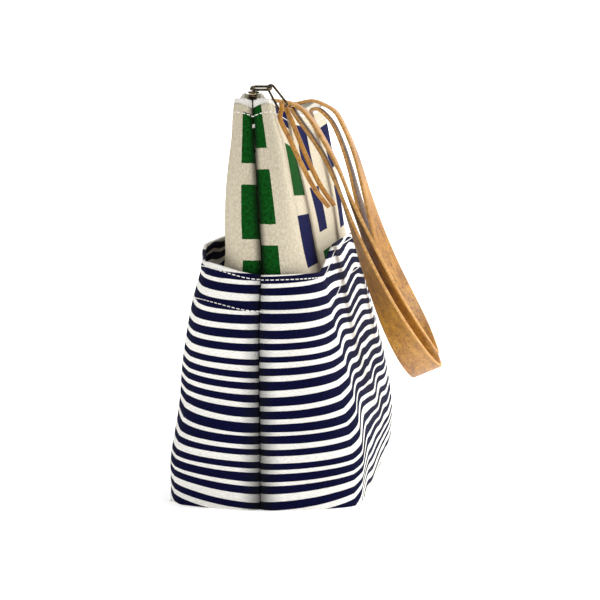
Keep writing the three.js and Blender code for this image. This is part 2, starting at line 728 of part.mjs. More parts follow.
// The share of a curve's length at which it passes closest to a point
function shareAt(curve, point) {
  const steps = 2000;
  let best = 0;
  const away = (share) => curve.getPointAt(share).distanceTo(point);
  for (let i = 1; i <= steps; i += 1) {
    if (away(i / steps) < away(best)) best = i / steps;
  }
  return best;
}

function makeHandle(name, nearEnd, nearLeg, foot, farLeg, farEnd) {
  const route = [...nearEnd, ...nearLeg, foot, ...farLeg, ...farEnd.reverse()];
  const curve = new THREE.CatmullRomCurve3(route, false, 'centripetal');
  curve.arcLengthDivisions = 2000;
  const length = curve.getLength();
  const start = shareAt(curve, nearLeg[0]);
  const middle = shareAt(curve, foot);
  const end = shareAt(curve, farLeg[farLeg.length - 1]);
  const gap = JOIN_GAP / length;
  const w = STRAP_WIDTH / 2;
  const strap = (from, to, count) => {
    const frames = strapFrames(curve, from, to, count, start, middle, end);
    const section = (i) => {
      const s = from + ((to - from) * i) / count;
      const inside = Math.min(s, 1 - s) * length;
      const grown = smooth(Math.min(1, Math.max(0, (inside - TUCK_DEPTH - 2) / STRAP_EASE)));
      const t = THREE.MathUtils.lerp(STRAP_TUCKED, STRAP, grown) / 2;
      return [[-w, -t], [w, -t], [w, t], [-w, t]];
    };
    return sweep(frames, section);
  };
  piece(name, strap(start, end, 48), 'cork');
  piece(`${name}_end_near`, strap(0, start - gap, 20), 'cork');
  piece(`${name}_end_far`, strap(end + gap, 1, 20), 'cork');
}

// The facing is cut away round each tucked strap end
function cutForStraps(side) {
  let body = facingBody(side);
  for (const y of [STRAP_NEAR, STRAP_FAR]) {
    const wide = STRAP_WIDTH + 2 * PLY_GAP;
    const tall = TUCK_DEPTH + FACING_RISE + 6;
    const z = mouthTop(y) - TUCK_DEPTH - PLY_GAP + tall / 2;
    const x = MOUTH_MIDDLE + side * (MOUTH_THICKNESS / 2 - CANVAS);
    body = body.subtract(box(10, wide, tall, x, y, z));
  }
  return body;
}

function makeBartack(name, u, y) {
  const top = skin(1, u, BAG_HEIGHT - 18, 0);
  const tack = piece(name, new THREE.BoxGeometry(1.4, 0.6, 5), 'thread');
  const out = Math.sign(y);
  tack.position.set(top.x - SEAM_GAP / 2, top.y + out * (0.3 + PLY_GAP), top.z);
}

for (const [place, side] of [['front', 1], ['back', -1]]) {
  makePanel(`${place}_panel`, side);
  makeLining(`lining_${place}`, side);
  piece(`facing_${place}`, geometryOf(cutForStraps(side)), 'facing');
  makePocket(`pocket_${place}`, side);
  makeBinding(`pocket_binding_${place}`, side);
  makeTape(`zip_tape_${place}`, side);
  makeCoil(`zip_coil_${place}`, side);
}
makeBase();
makeBartack('seam_bartack_near', 0, -1);
makeBartack('seam_bartack_far', 1, 1);
makeStop('zip_stop_near', ZIP_NEAR - PLY_GAP - STOP_LENGTH / 2);
makeStop('zip_stop_far', ZIP_FAR + PLY_GAP + STOP_LENGTH / 2);
makeSlider();
makeRing();
makeBail();
makeLace();
const frontEnds = [frontEnd(STRAP_NEAR, 0), frontEnd(STRAP_FAR, FAR_ARCH)];
const backEnds = [backEnd(STRAP_NEAR, 0), backEnd(STRAP_FAR, FAR_ARCH)];
makeHandle('handle_front', frontEnds[0], frontNearLeg, frontFoot, frontFarLeg, frontEnds[1]);
makeHandle('handle_back', backEnds[0], backNearLeg, backFoot, backFarLeg, backEnds[1]);

export default bag;
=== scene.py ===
# %% [markdown]
# A tote bag standing on a pale floor, seen from its end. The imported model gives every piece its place.
# This script dresses those pieces: cloth, hems, zip, cork straps and stitches. Lengths are written in
# millimetres, as a maker would measure them, and are turned to metres where a mesh is made.

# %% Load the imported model
import math

import bpy
import numpy as np
from mathutils import Matrix, Vector


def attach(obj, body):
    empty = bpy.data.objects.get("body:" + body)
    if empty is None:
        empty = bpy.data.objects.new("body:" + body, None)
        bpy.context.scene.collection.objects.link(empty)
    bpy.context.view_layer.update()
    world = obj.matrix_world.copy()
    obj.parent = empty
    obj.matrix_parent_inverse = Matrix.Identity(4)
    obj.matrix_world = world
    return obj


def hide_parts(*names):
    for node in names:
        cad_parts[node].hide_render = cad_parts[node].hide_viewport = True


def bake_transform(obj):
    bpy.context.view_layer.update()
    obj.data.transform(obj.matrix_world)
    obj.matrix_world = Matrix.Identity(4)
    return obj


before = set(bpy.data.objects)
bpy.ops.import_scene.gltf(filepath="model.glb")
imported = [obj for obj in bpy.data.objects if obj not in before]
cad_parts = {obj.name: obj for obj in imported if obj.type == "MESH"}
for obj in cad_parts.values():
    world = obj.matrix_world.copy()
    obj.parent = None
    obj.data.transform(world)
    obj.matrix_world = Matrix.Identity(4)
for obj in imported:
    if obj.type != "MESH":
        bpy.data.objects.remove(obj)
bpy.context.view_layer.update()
MM = 0.001

# %% [markdown]
# The bag's own sizes. The body is a loft: at each height the outline in plan is a rounded rectangle that
# grows thinner upwards. Two half outlines meet in the seams at the bag's ends, so one function can place
# the body, its lining, its facing and its pockets, each at its own distance from the same skin.

# %% Sizes of the bag
LENGTH = 430.0
HEIGHT = 297.5
POCKET = 178.0
CANVAS = 1.2
LINING = 0.8
PLY_GAP = 0.35
SEAM_GAP = 0.4
FACING_RISE = 2.4
FACING_DEPTH = 28.0
END_SHARE = 0.2
HALF = LENGTH / 2
DIP_MIDDLE = 15.0
MOUTH_DIP = 12.0
MOUTH_X = -9.5  # the bag leans, so its mouth lies behind the middle of its base
MOUTH_HALF = 14.0
SEAM_VALLEY = ((2.6, 5.0), (1.6, 1.8))  # depth and reach of the dips where the two halves meet
# height, half thickness, lean, belly, push of the end seam, corner radius
STATIONS = np.array([
    [0, 70, -4, 0.01, 26, 13],
    [10, 69.7, -4, 0.02, 27, 15],
    [45, 67.5, -4, 0.04, 27, 20],
    [90, 56.5, -4.5, 0.05, 26, 22],
    [134, 42, -4, 0.04, 21, 19],
    [POCKET, 30, -3, 0.02, 14, 14],
    [211.46, 26.6, -4.8, 0, 9, 10],
    [240.14, 22.9, -6.5, 0, 6, 8],
    [284.71, 15.9, -8.9, 0, 2, 5],
    [HEIGHT, MOUTH_HALF, MOUTH_X, 0, 1, 4],
])


def ease(t):
    t = np.clip(t, 0, 1)
    return t * t * (3 - 2 * t)


def hermite(t, first, last, leave, arrive):
    """A smooth run from first to last, with its slopes at both ends."""
    return ((2 * t**3 - 3 * t**2 + 1) * first + (t**3 - 2 * t**2 + t) * leave
            + (3 * t**2 - 2 * t**3) * last + (t**3 - t**2) * arrive)


def shape_at(z):
    """The loft's five measures at heights z, eased between the stations."""
    heights, values = STATIONS[:, 0], STATIONS[:, 1:].T
    low = np.clip(np.searchsorted(heights, z, side="left") - 1, 0, len(heights) - 2)
    high, under, over = low + 1, np.maximum(low - 1, 0), np.minimum(low + 2, len(heights) - 1)
    run = heights[high] - heights[low]
    rise = (values[:, high] - values[:, under]) / (heights[high] - heights[under]) * run
    fall = (values[:, over] - values[:, low]) / (heights[over] - heights[low]) * run
    return hermite((z - heights[low]) / run, values[:, low], values[:, high], rise, fall)


def half_outline(u, half, corner):
    """Half of a rounded rectangle, from the near seam at u = 0 to the far seam at u = 1."""
    far = u > 0.5
    v = np.where(far, 1 - u, u)
    eighth = corner * math.pi / 4
    flat = half - corner
    s = v / END_SHARE * (flat + eighth)
    turn = np.maximum(0, s - flat) / corner
    end_x = np.minimum(s, flat) + corner * np.sin(turn)
    end_y = -HALF + corner * (1 - np.cos(turn))
    s = (v - END_SHARE) / (0.5 - END_SHARE) * (HALF - corner + eighth)
    turn = math.pi / 4 + np.minimum(np.maximum(s, 0), eighth) / corner
    side_x = flat + corner * np.sin(turn)
    side_y = -HALF + corner * (1 - np.cos(turn)) + np.maximum(0, s - eighth)
    at_end = v < END_SHARE
    x = np.where(at_end, end_x, side_x)
    y = np.where(at_end, end_y, side_y)
    return x, np.where(far, -y, y)


def plan_at(u, z):
    half, lean, belly, prow, corner = shape_at(z)
    x, y = half_outline(u, half, corner)
    along = y / HALF
    valley = sum(deep * np.exp(-((x / reach) ** 2)) for deep, reach in SEAM_VALLEY)
    wide = np.maximum(x * (1 + belly * (1 - along**2)), SEAM_GAP / 2)
    long = y * (1 - prow / HALF * (x / half) ** 2) - np.sign(y) * np.where(np.abs(along) > 0.9, valley, 0)
    return wide, long, lean


def mouth_dip(y):
    return MOUTH_DIP * (1 - ((y - DIP_MIDDLE) / (HALF + DIP_MIDDLE)) ** 2)


def skin(side, u, z, out=0.0):
    """Points of the skin in millimetres, front (side 1) or back (side -1), moved outwards."""
    u, z = np.broadcast_arrays(np.asarray(u, float), np.asarray(z, float))
    x, y, lean = plan_at(u, z)
    x0, y0, _ = plan_at(np.maximum(u - 1e-3, 0), z)
    x1, y1, _ = plan_at(np.minimum(u + 1e-3, 1), z)
    size = np.hypot(x1 - x0, y1 - y0)
    nx, ny = (y1 - y0) / size, (x0 - x1) / size
    rise = ease((z - POCKET) / (HEIGHT - POCKET))
    wide = np.maximum(x + nx * out, SEAM_GAP / 2)
    return np.stack([lean + side * wide, y + ny * out, z - mouth_dip(y) * rise], axis=-1)


print("half thickness at the pocket's top", round(float(skin(1, 0.5, POCKET)[0]), 1), "mm")

# %% [markdown]
# Every cloth piece is a sheet with two faces. The outer and inner faces are two grids of points, and the
# four edges are closed, which gives the cloth its real thickness without a modifier. Straps, wires and
# hems are tubes: a closed section carried along a path. The UV map is laid in metres along the cloth, so
# a woven or printed pattern follows the folds as it does on a real bag.

# %% Mesh helpers
def walked_along(points):
    """How far along a line each of its points lies."""
    return np.concatenate([[0], np.cumsum(np.linalg.norm(np.diff(points, axis=0), axis=1))])


def unit(vectors):
    return vectors / np.linalg.norm(vectors, axis=1)[:, None]


def square_to(vectors, axes):
    """The part of each vector that is square to its axis, at length 1."""
    return unit(vectors - axes * (vectors * axes).sum(1)[:, None])


def pairs(first, second):
    """Joins two arrays that broadcast together into one array of pairs."""
    return np.stack(np.broadcast_arrays(first, second), axis=-1)


def linked(name, data):
    obj = bpy.data.objects.new(name, data)
    bpy.context.scene.collection.objects.link(obj)
    return obj


def corner_points(mesh):
    """The number of the point at each face corner, in the order of the UV map."""
    corners = np.zeros(len(mesh.loops), int)
    mesh.loops.foreach_get("vertex_index", corners)
    return corners


def mesh_object(name, points, faces, materials, uv=None, face_material=None, smooth=True):
    """A mesh object at the origin from points in millimetres; uv holds one pair in metres for each point."""
    mesh = bpy.data.meshes.new(name)
    mesh.from_pydata([tuple(p) for p in np.asarray(points) * MM], [], faces)
    for material in materials:
        mesh.materials.append(material)
    if uv is not None:
        layer = mesh.uv_layers.new(name="cloth")
        layer.data.foreach_set("uv", np.asarray(uv, np.float32)[corner_points(mesh)].ravel())
    if face_material is not None:
        mesh.polygons.foreach_set("material_index", np.asarray(face_material, np.int32))
    mesh.polygons.foreach_set("use_smooth", np.full(len(mesh.polygons), smooth))
    mesh.update()
    return linked(name, mesh)


def facing_out(points, faces):
    """Faces of a closed mesh, turned over if they enclose a negative volume."""
    volume = 0.0
    for face in faces:
        a = points[face[0]]
        for k in range(1, len(face) - 1):
            volume += np.dot(a, np.cross(points[face[k]], points[face[k + 1]]))
    return [face[::-1] for face in faces] if volume < 0 else faces


def cloth_sheet(name, outer, inner, uv, material):
    """A closed sheet from two grids of points, with the same UV place on both faces."""
    rows, columns = outer.shape[:2]
    count = rows * columns
    index = np.arange(count).reshape(rows, columns)
    a, b, c, d = index[:-1, :-1], index[:-1, 1:], index[1:, 1:], index[1:, :-1]
    face_out = np.stack([a, b, c, d], axis=-1).reshape(-1, 4)
    face_in = np.stack([a, d, c, b], axis=-1).reshape(-1, 4) + count
    rim = np.concatenate([index[0], index[1:, -1], index[-1, :-1][::-1], index[1:-1, 0][::-1]]).tolist()
    edge = [[i, i + count, j + count, j] for i, j in zip(rim, rim[1:] + rim[:1])]
    points = np.concatenate([outer.reshape(-1, 3), inner.reshape(-1, 3)])
    faces = facing_out(points, face_out.tolist() + face_in.tolist() + edge)
    return mesh_object(name, points, faces, [material], np.tile(uv.reshape(-1, 2), (2, 1)))


def tube(name, rings, materials, uv=None, closed=False, marks=None, smooth=True):
    """A closed skin over a row of rings of points; marks gives each strip round a ring its material."""
    count, sides = rings.shape[:2]
    strips = count if closed else count - 1
    faces = []
    for i in range(strips):
        here, there = i * sides, (i + 1) % count * sides
        for k in range(sides):
            m = (k + 1) % sides
            faces.append([here + k, here + m, there + m, there + k])
    face_material = None if marks is None else list(marks) * strips
    if not closed:
        faces += [list(range(sides))[::-1], [(count - 1) * sides + k for k in range(sides)]]
        if marks is not None:
            face_material += [marks[0]] * 2
    points = rings.reshape(-1, 3)
    uv = None if uv is None else uv.reshape(-1, 2)
    return mesh_object(name, points, facing_out(points, faces), materials, uv, face_material, smooth)


def carry_section(name, at, out, up, section, materials, length=0.0, uv=None, **options):
    """Sweeps a closed section along a path. Its UV map counts round the section and along the path."""
    rings = at[:, None] + out[:, None] * section[..., :1] + up[:, None] * section[..., 1:]
    if uv is None:
        uv = pairs(walked_along(section) * MM, np.linspace(0, length, len(at))[:, None])
    return tube(name, rings, materials, uv, **options)


def dress(obj, body, slot, *nodes):
    """Puts a finished piece on its body and lets it stand for its nodes."""
    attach(obj, body)
    if nodes:
        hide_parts(*nodes)
    print(obj.name, "rides on", body, "with", len(obj.data.polygons), "faces")
    return obj


# %% [markdown]
# The camera stands a little above the bag's mouth, turned a few degrees towards its front, as in the
# photograph. It is set from the pixel of the near lower seam and the distance to it, and its lens from
# how much smaller the far end looks.

# %% Camera
PICTURE = 600  # pixels on each side of the photograph
SENSOR = 36
FOCAL = 2332.0  # in the same pixels
TURN = math.radians(5.8)
TILT = math.radians(4.533)
DISTANCE = 1.7
FOOT_ACROSS, FOOT_DOWN = 265.43, 510.18  # where the photograph shows the near seam's foot
forward = Vector((-math.sin(TURN) * math.cos(TILT), math.cos(TURN) * math.cos(TILT), -math.sin(TILT)))
right = Vector((math.cos(TURN), math.sin(TURN), 0))
upward = right.cross(forward)
seam_foot = Vector((0, -HALF * MM, 0))
place = seam_foot - DISTANCE * (
    forward
    + right * ((FOOT_ACROSS - PICTURE / 2) / FOCAL)
    + upward * ((PICTURE / 2 - FOOT_DOWN) / FOCAL)
)
camera_data = bpy.data.cameras.new("camera")
camera_data.sensor_width = SENSOR
camera_data.lens = FOCAL / PICTURE * SENSOR
camera = linked("camera", camera_data)
turned = Matrix((right, upward, -forward)).transposed().to_4x4()
camera.matrix_world = Matrix.Translation(place) @ turned
bpy.context.scene.camera = camera
bpy.context.scene.view_settings.view_transform = "Standard"
print("camera at", [round(v, 3) for v in place], "lens", round(camera_data.lens, 1))

# %% [markdown]
# Colours are written as sRGB hex values, the way a maker picks them, and one function turns them to the
# linear numbers that the shader needs. The other functions each add one kind of node with its links and
# give its output, so that a material reads as a short list of steps.

# %% Material helpers
def linear(hex_colour):
    value = [int(hex_colour[i:i + 2], 16) / 255 for i in (1, 3, 5)]
    return tuple(v / 12.92 if v <= 0.04045 else ((v + 0.055) / 1.055) ** 2.4 for v in value) + (1.0,)


def add_node(tree, kind, settings=None, inputs=None):
    node = tree.nodes.new(kind)
    for name, value in (settings or {}).items():
        setattr(node, name, value)
    for name, value in (inputs or {}).items():
        if isinstance(value, bpy.types.NodeSocket):
            tree.links.new(value, node.inputs[name])
        else:
            node.inputs[name].default_value = value
    return node


def start_material(name, **inputs):
    """A material with its Principled shader, whose plain values are set on the shader's own sockets."""
    material = bpy.data.materials.new(name)
    material.use_nodes = True
    tree = material.node_tree
    shader = tree.nodes["Principled BSDF"]
    for key, value in inputs.items():
        shader.inputs[key.replace("_", " ")].default_value = value
    return material, tree, shader


def maths(tree, operation, *values):
    return add_node(tree, "ShaderNodeMath", {"operation": operation}, dict(enumerate(values))).outputs[0]


def scaled_sum(tree, vector, scale, added):
    """A vector times one number, plus another vector."""
    return add_node(tree, "ShaderNodeVectorMath", {"operation": "MULTIPLY_ADD"}, {
        0: vector, 1: (scale,) * 3, 2: added}).outputs[0]


def stretched(tree, vector, *shares):
    """A vector with each of its parts times its own share. A texture grows longer where it is under 1."""
    return add_node(tree, "ShaderNodeVectorMath", {"operation": "MULTIPLY"}, {
        0: vector, 1: shares}).outputs[0]


def axes_of(tree, vector):
    return add_node(tree, "ShaderNodeSeparateXYZ", {}, {0: vector}).outputs


def noise(tree, where, scale, detail, roughness=0.5):
    """Both outputs of a noise texture: its value at 0, and its colour."""
    return add_node(tree, "ShaderNodeTexNoise", {}, {
        "Vector": where, "Scale": scale, "Detail": detail, "Roughness": roughness}).outputs


def map_range(tree, value, low, high, start=0.0, end=1.0, kind="LINEAR"):
    return add_node(tree, "ShaderNodeMapRange", {"interpolation_type": kind}, {
        0: value, 1: low, 2: high, 3: start, 4: end}).outputs[0]


def mix(tree, share, one, other):
    return add_node(tree, "ShaderNodeMix", {"data_type": "RGBA"}, {0: share, 6: one, 7: other}).outputs[2]


def ramp(tree, value, *stops):
    """A colour ramp over a value, from pairs of place and hex colour."""
    node = add_node(tree, "ShaderNodeValToRGB", {}, {0: value})
    elements = node.color_ramp.elements
    while len(elements) < len(stops):
        elements.new(0.5)
    for element, (place_on_ramp, colour) in zip(elements, stops):
        element.position = place_on_ramp
        element.color = linear(colour)
    return node.outputs[0]


def set_bump(tree, shader, height, depth, strength):
    bump = add_node(tree, "ShaderNodeBump", {}, {"Height": height, "Distance": depth, "Strength": strength})
    tree.links.new(bump.outputs[0], shader.inputs["Normal"])


# %% [markdown]
# The floor and the light. The photograph is a product shot on white. A broad soft light from above and a
# little from the right whitens the table and the bag's long side, and leaves its end in shade. The table
# is opal and lit from below, so shadows on it are weak. A bright white wall goes on where it ends, and a
# weaker soft light to the left of the near end keeps that face from going grey.

# %% Floor and lights
REACH, FLOOR_LEVEL, WALL_Y, WALL_TOP = 6000, -0.4, 5900, 3500
SKY, SUN, SUN_SPREAD = 0.16, 2.6, math.radians(40)


def lit_sheet(name, finish, near, far, roughness, glow):
    """A large lit surface between two edges (y, z). It belongs to the studio and not to the bag."""
    material, _, shader = start_material(finish, Roughness=roughness, Emission_Strength=glow)
    shader.inputs["Emission Color"].default_value = linear("#FFFFFF")
    corners = [(-REACH, *near), (REACH, *near), (REACH, *far), (-REACH, *far)]
    mesh_object(name, corners, [[0, 1, 2, 3]], [material])
    return shader


table = lit_sheet("floor", "lit opal table", (-REACH, FLOOR_LEVEL), (REACH, FLOOR_LEVEL), 0.9, 0.5)
table.inputs["Base Color"].default_value = linear("#FBFBFB")
lit_sheet("wall", "lit studio wall", (WALL_Y, FLOOR_LEVEL), (WALL_Y, WALL_TOP), 1.0, 1.0)

world = bpy.data.worlds.new("studio")
bpy.context.scene.world = world
world.use_nodes = True
background = world.node_tree.nodes["Background"].inputs
background["Color"].default_value = linear("#FFFFFF")
background["Strength"].default_value = SKY


def towards(direction):
    """The turn of a light that shines along a direction."""
    return Vector(direction).to_track_quat("-Z", "Y").to_matrix().to_4x4()


def area_light(name, at, aim, size, power):
    data = bpy.data.lights.new(name, "AREA")
    data.shape = "SQUARE"
    data.size = size
    data.energy = power
    linked(name, data).matrix_world = Matrix.Translation(at) @ towards(Vector(aim) - Vector(at))


area_light("side", (1.5, 0.35, 0.9), (0.05, 0, 0.15), 0.8, 14)
area_light("near end", (-1.3, -1.4, 0.8), (-0.03, -0.2, 0.15), 0.8, 8)
sun_data = bpy.data.lights.new("overhead", "SUN")
sun_data.energy = SUN
sun_data.angle = SUN_SPREAD
linked("overhead", sun_data).matrix_world = towards((-0.35, -0.1, -1))

# %% [markdown]
# Cotton canvas. The real cloth is a plain weave of thick unbleached yarn, so it shows slubs and a fine
# basket of bumps. Its printed blocks are ink on the yarn: they share the weave and only change the
# colour. Yarns are about 0.8 mm apart; here they are drawn 1.3 mm apart, so that they show at this size.

# %% Weave shared by the cloths
def on_cloth(tree):
    return add_node(tree, "ShaderNodeUVMap", {"uv_map": "cloth"}).outputs[0]


def weave(tree, thread, cloth):
    """Height of a plain weave: two crossed waves, over and under by turns, with uneven yarn."""
    uneven = noise(tree, cloth, 0.35 / thread, 2.0)["Color"]
    axes = axes_of(tree, scaled_sum(tree, uneven, 0.5 * thread, cloth))
    turns = [maths(tree, "MULTIPLY", axes[axis], math.pi / thread) for axis in ("X", "Y")]
    return maths(tree, "MULTIPLY", *(maths(tree, "SINE", turn) for turn in turns))


def weave_bump(tree, shader, cloth, thread, depth):
    fuzz = noise(tree, cloth, 1.6 / thread, 3.0)[0]
    set_bump(tree, shader, maths(tree, "ADD", weave(tree, thread, cloth), fuzz), depth, 0.7)


# %% [markdown]
# The print on the upper body is a plain staggered check of upright blocks: a narrow green column on each
# side of the near seam, and broad columns of navy and green on the long sides. Each block is a test on
# the two parts of the place on the cloth. The first counts up from that seam and, past the middle, back.

# %% Printed canvas
TURN_BACK = 0.306  # metres of cloth from the near seam to where the columns count back
SEAM_COLUMN = 0.055
SIDE_COLUMN = (TURN_BACK - SEAM_COLUMN) / 2
BLOCK_PITCH = 0.055
BLOCK_TALL = 0.72  # of the pitch
SEAM_BLOCK, SIDE_BLOCK = 0.27, 0.55  # widths, as shares of their columns
ROW_STEP, FIRST_STEP = 0.62, 0.2
COLUMNS_PER_SIDE = 5.0
GREEN_CHANCE = 0.35
BACK_PRINT = 2 * TURN_BACK  # the back is cut from further along the same printed cloth
CANVAS_YARN, CANVAS_BUMP, INK_BLEED = 0.0013, 0.0004, 0.0008  # metres


def in_seam_shade(tree, from_seam, colour):
    """Darkens the few millimetres that turn in to the near seam, where little light gets."""
    shade = map_range(tree, from_seam, 0.0, 0.008, 0.8, 0.0, "SMOOTHSTEP")
    return mix(tree, shade, colour, linear("#0A0C08"))


printed_canvas, tree, shader = start_material(
    "printed cotton canvas", Roughness=0.93, Specular_IOR_Level=0.08)
cloth = on_cloth(tree)
bleed = noise(tree, cloth, 900.0, 1.0)["Color"]
axes = axes_of(tree, scaled_sum(tree, bleed, INK_BLEED, cloth))
from_seam = maths(tree, "PINGPONG", axes["X"], TURN_BACK)
narrow = maths(tree, "DIVIDE", from_seam, SEAM_COLUMN)
broad = maths(tree, "MULTIPLY_ADD", from_seam, 1 / SIDE_COLUMN, 1 - SEAM_COLUMN / SIDE_COLUMN)
column = maths(tree, "MINIMUM", narrow, broad)
column_in_side = maths(tree, "FLOOR", column)
side_number = maths(tree, "FLOOR", maths(tree, "MULTIPLY", axes["X"], 1 / TURN_BACK))
column_number = maths(tree, "MULTIPLY_ADD", side_number, COLUMNS_PER_SIDE, column_in_side)
stagger = maths(tree, "MULTIPLY_ADD", column_number, ROW_STEP, FIRST_STEP)
row = maths(tree, "ADD", maths(tree, "DIVIDE", axes["Y"], BLOCK_PITCH), stagger)
which = add_node(tree, "ShaderNodeCombineXYZ", {}, {"X": column_number, "Y": maths(tree, "FLOOR", row)})
chance = add_node(tree, "ShaderNodeTexWhiteNoise", {"noise_dimensions": "2D"}, {"Vector": which.outputs[0]})
on_long_side = maths(tree, "GREATER_THAN", column_in_side, 0.5)
width = maths(tree, "MULTIPLY_ADD", on_long_side, SIDE_BLOCK - SEAM_BLOCK, SEAM_BLOCK)
block = maths(tree, "MULTIPLY",
              maths(tree, "LESS_THAN", maths(tree, "FRACT", column), width),
              maths(tree, "LESS_THAN", maths(tree, "FRACT", row), BLOCK_TALL))
is_navy = maths(tree, "MULTIPLY", on_long_side,
                maths(tree, "GREATER_THAN", chance.outputs["Value"], GREEN_CHANCE))
slub = noise(tree, cloth, 420.0, 4.0, 0.7)[0]
natural = ramp(tree, slub, (0.3, "#BDB197"), (0.5, "#D2C7AF"), (0.72, "#E4DBC8"))
green = ramp(tree, slub, (0.3, "#042808"), (0.55, "#0A5014"), (0.8, "#1C6A26"))
navy = ramp(tree, slub, (0.3, "#050728"), (0.6, "#0B0F48"), (0.85, "#1A2060"))
print_colour = mix(tree, block, natural, mix(tree, is_navy, green, navy))
tree.links.new(in_seam_shade(tree, from_seam, print_colour), shader.inputs["Base Color"])
weave_bump(tree, shader, cloth, CANVAS_YARN, CANVAS_BUMP)
print("printed canvas has", len(tree.nodes), "nodes")

# %% [markdown]
# The pocket cloth is a smoother cotton twill, navy, printed with white stripes that rise away from the
# near seam, more so near the base, and wave a little. A stripe is the fraction of a height that is
# shifted by this rise and some noise. White ink lies on navy yarn, so the weave shows through it.

# %% Striped pocket cloth
STRIPE_PITCH = 0.0098
RISE_WITHIN = 0.1
BASE_FALL, FRONT_TOP_FALL, BACK_TOP_FALL = -0.034, -0.002, -0.015
DRIFT = 0.014
UNEVEN, SWELL = -0.16, 0.14  # of the pitch
INK_FROM, INK_FULL = 0.265, 0.295
TWILL_YARN, TWILL_BUMP = 0.0011, 0.00022
pocket_cloth, tree, shader = start_material("printed cotton twill", Roughness=0.9, Specular_IOR_Level=0.08)
cloth = on_cloth(tree)
axes = axes_of(tree, cloth)
from_seam = maths(tree, "PINGPONG", axes["X"], TURN_BACK)
share_up = map_range(tree, from_seam, 0.0, RISE_WITHIN, kind="SMOOTHSTEP")
on_back = maths(tree, "GREATER_THAN", axes["X"], 0.9 * BACK_PRINT)
top_fall = maths(tree, "MULTIPLY_ADD", on_back, BACK_TOP_FALL - FRONT_TOP_FALL, FRONT_TOP_FALL)
fall = map_range(tree, axes["Y"], 0.0, POCKET * MM, BASE_FALL, top_fall)
stripe_height = maths(tree, "MULTIPLY_ADD", share_up, fall, axes["Y"])
drift = noise(tree, stretched(tree, cloth, 0.45, 1.0, 1.0), 22.0, 0.0)[0]
stripe = maths(tree, "DIVIDE", maths(tree, "MULTIPLY_ADD", drift, DRIFT, stripe_height), STRIPE_PITCH)
chance = add_node(tree, "ShaderNodeTexWhiteNoise", {"noise_dimensions": "1D"}, {
    "W": maths(tree, "FLOOR", stripe)})
thinner = maths(tree, "MULTIPLY_ADD", chance.outputs["Value"], UNEVEN, maths(tree, "PINGPONG", stripe, 0.5))
swollen = maths(tree, "MULTIPLY_ADD", noise(tree, cloth, 30.0, 2.0)[0], SWELL, thinner)
edge = map_range(tree, swollen, INK_FROM, INK_FULL)
yarn = noise(tree, cloth, 700.0, 3.0, 0.7)[0]
dyed = ramp(tree, yarn, (0.3, "#02031A"), (0.6, "#060833"), (0.85, "#101446"))
white = ramp(tree, yarn, (0.3, "#E8E5DD"), (0.6, "#FAF8F2"), (0.85, "#FFFFFF"))
striped = mix(tree, edge, dyed, white)
tree.links.new(in_seam_shade(tree, from_seam, striped), shader.inputs["Base Color"])
weave_bump(tree, shader, cloth, TWILL_YARN, TWILL_BUMP)
print("stripe pitch", STRIPE_PITCH / MM, "mm")

# %% [markdown]
# Plain cloths: bleached lining, and the woven polyester of the zip tape, whose ribs run along the zip.
# The tape's outer part is covered by a pale strip of the lining's cloth, its colour painted a little darker
# than the lining as shade on the tape's puffed flaps. Thread is twisted polyester.

# %% Plain cloths and thread
def plain_cloth(name, dark, middle, light, thread, depth, roughness, covered_from=None):
    material, tree, shader = start_material(
        name, Roughness=roughness, Sheen_Weight=0.1, Specular_IOR_Level=0.2)
    cloth = on_cloth(tree)
    colour = ramp(tree, noise(tree, cloth, 600.0, 3.0, 0.7)[0], (0.3, dark), (0.55, middle), (0.8, light))
    if covered_from is not None:
        # painted shade: the cover strip is the lining's cloth coloured darker than the lining, for the shade
        # on the tape's flaps
        shaded_cover = map_range(tree, axes_of(tree, cloth)["X"], covered_from, covered_from + 0.0004)
        colour = mix(tree, shaded_cover, colour, linear("#D2CCBF"))
    tree.links.new(colour, shader.inputs["Base Color"])
    weave_bump(tree, shader, cloth, thread, depth)
    return material


lining_cloth = plain_cloth("bleached cotton", "#D9D5CC", "#EFECE5", "#FBF9F5", 0.0012, 0.0003, 0.9)
tape_cloth = plain_cloth(
    "woven polyester tape", "#6E6755", "#8F8873", "#ADA690", 0.0010, 0.0003, 0.75, covered_from=0.0056)
thread_white = plain_cloth("spun polyester thread", "#DDD9D0", "#F2EFE8", "#FFFFFF", 0.0006, 0.0001, 0.6)

# %% [markdown]
# Cork fabric is a thin shaved sheet of cork on a cloth backing, sealed with a satin coat. Cork is made
# of small cells with dark pores and streaks along the sheet. The cut edge of a strap shows the layers,
# paler and rougher than the face. The metal is zinc with an antique brass plating: dark brown in its
# hollows, pale where it is rubbed.

# %% Cork and metal
cork_face, tree, shader = start_material("sealed cork fabric", Roughness=0.52, Coat_Weight=0.12)
shader.inputs["Coat Roughness"].default_value = 0.4
cloth = on_cloth(tree)
lengthened = stretched(tree, cloth, 1.0, 0.35, 1.0)
cells = add_node(tree, "ShaderNodeTexVoronoi", {"feature": "F1"}, {
    "Vector": cloth, "Scale": 520.0, "Randomness": 1.0})
streaks = noise(tree, lengthened, 160.0, 5.0, 0.65)[0]
grain = maths(tree, "MULTIPLY_ADD", noise(tree, cloth, 30.0, 3.0)[0], 0.5, streaks)
bark = ramp(tree, grain, (0.50, "#7C4A08"), (0.68, "#A46C16"), (0.84, "#BD8424"), (1.0, "#D29E3A"))
pores = map_range(tree, noise(tree, lengthened, 760.0, 3.0, 0.7)[0], 0.55, 0.63, 0.0, 0.85)
tree.links.new(mix(tree, pores, bark, linear("#552F08")), shader.inputs["Base Color"])
set_bump(tree, shader, maths(tree, "SUBTRACT", cells.outputs["Distance"], pores), 0.0002, 0.5)

cork_edge = plain_cloth("cut cork edge", "#B98145", "#DBA764", "#F0C58A", 0.0008, 0.0002, 0.8)

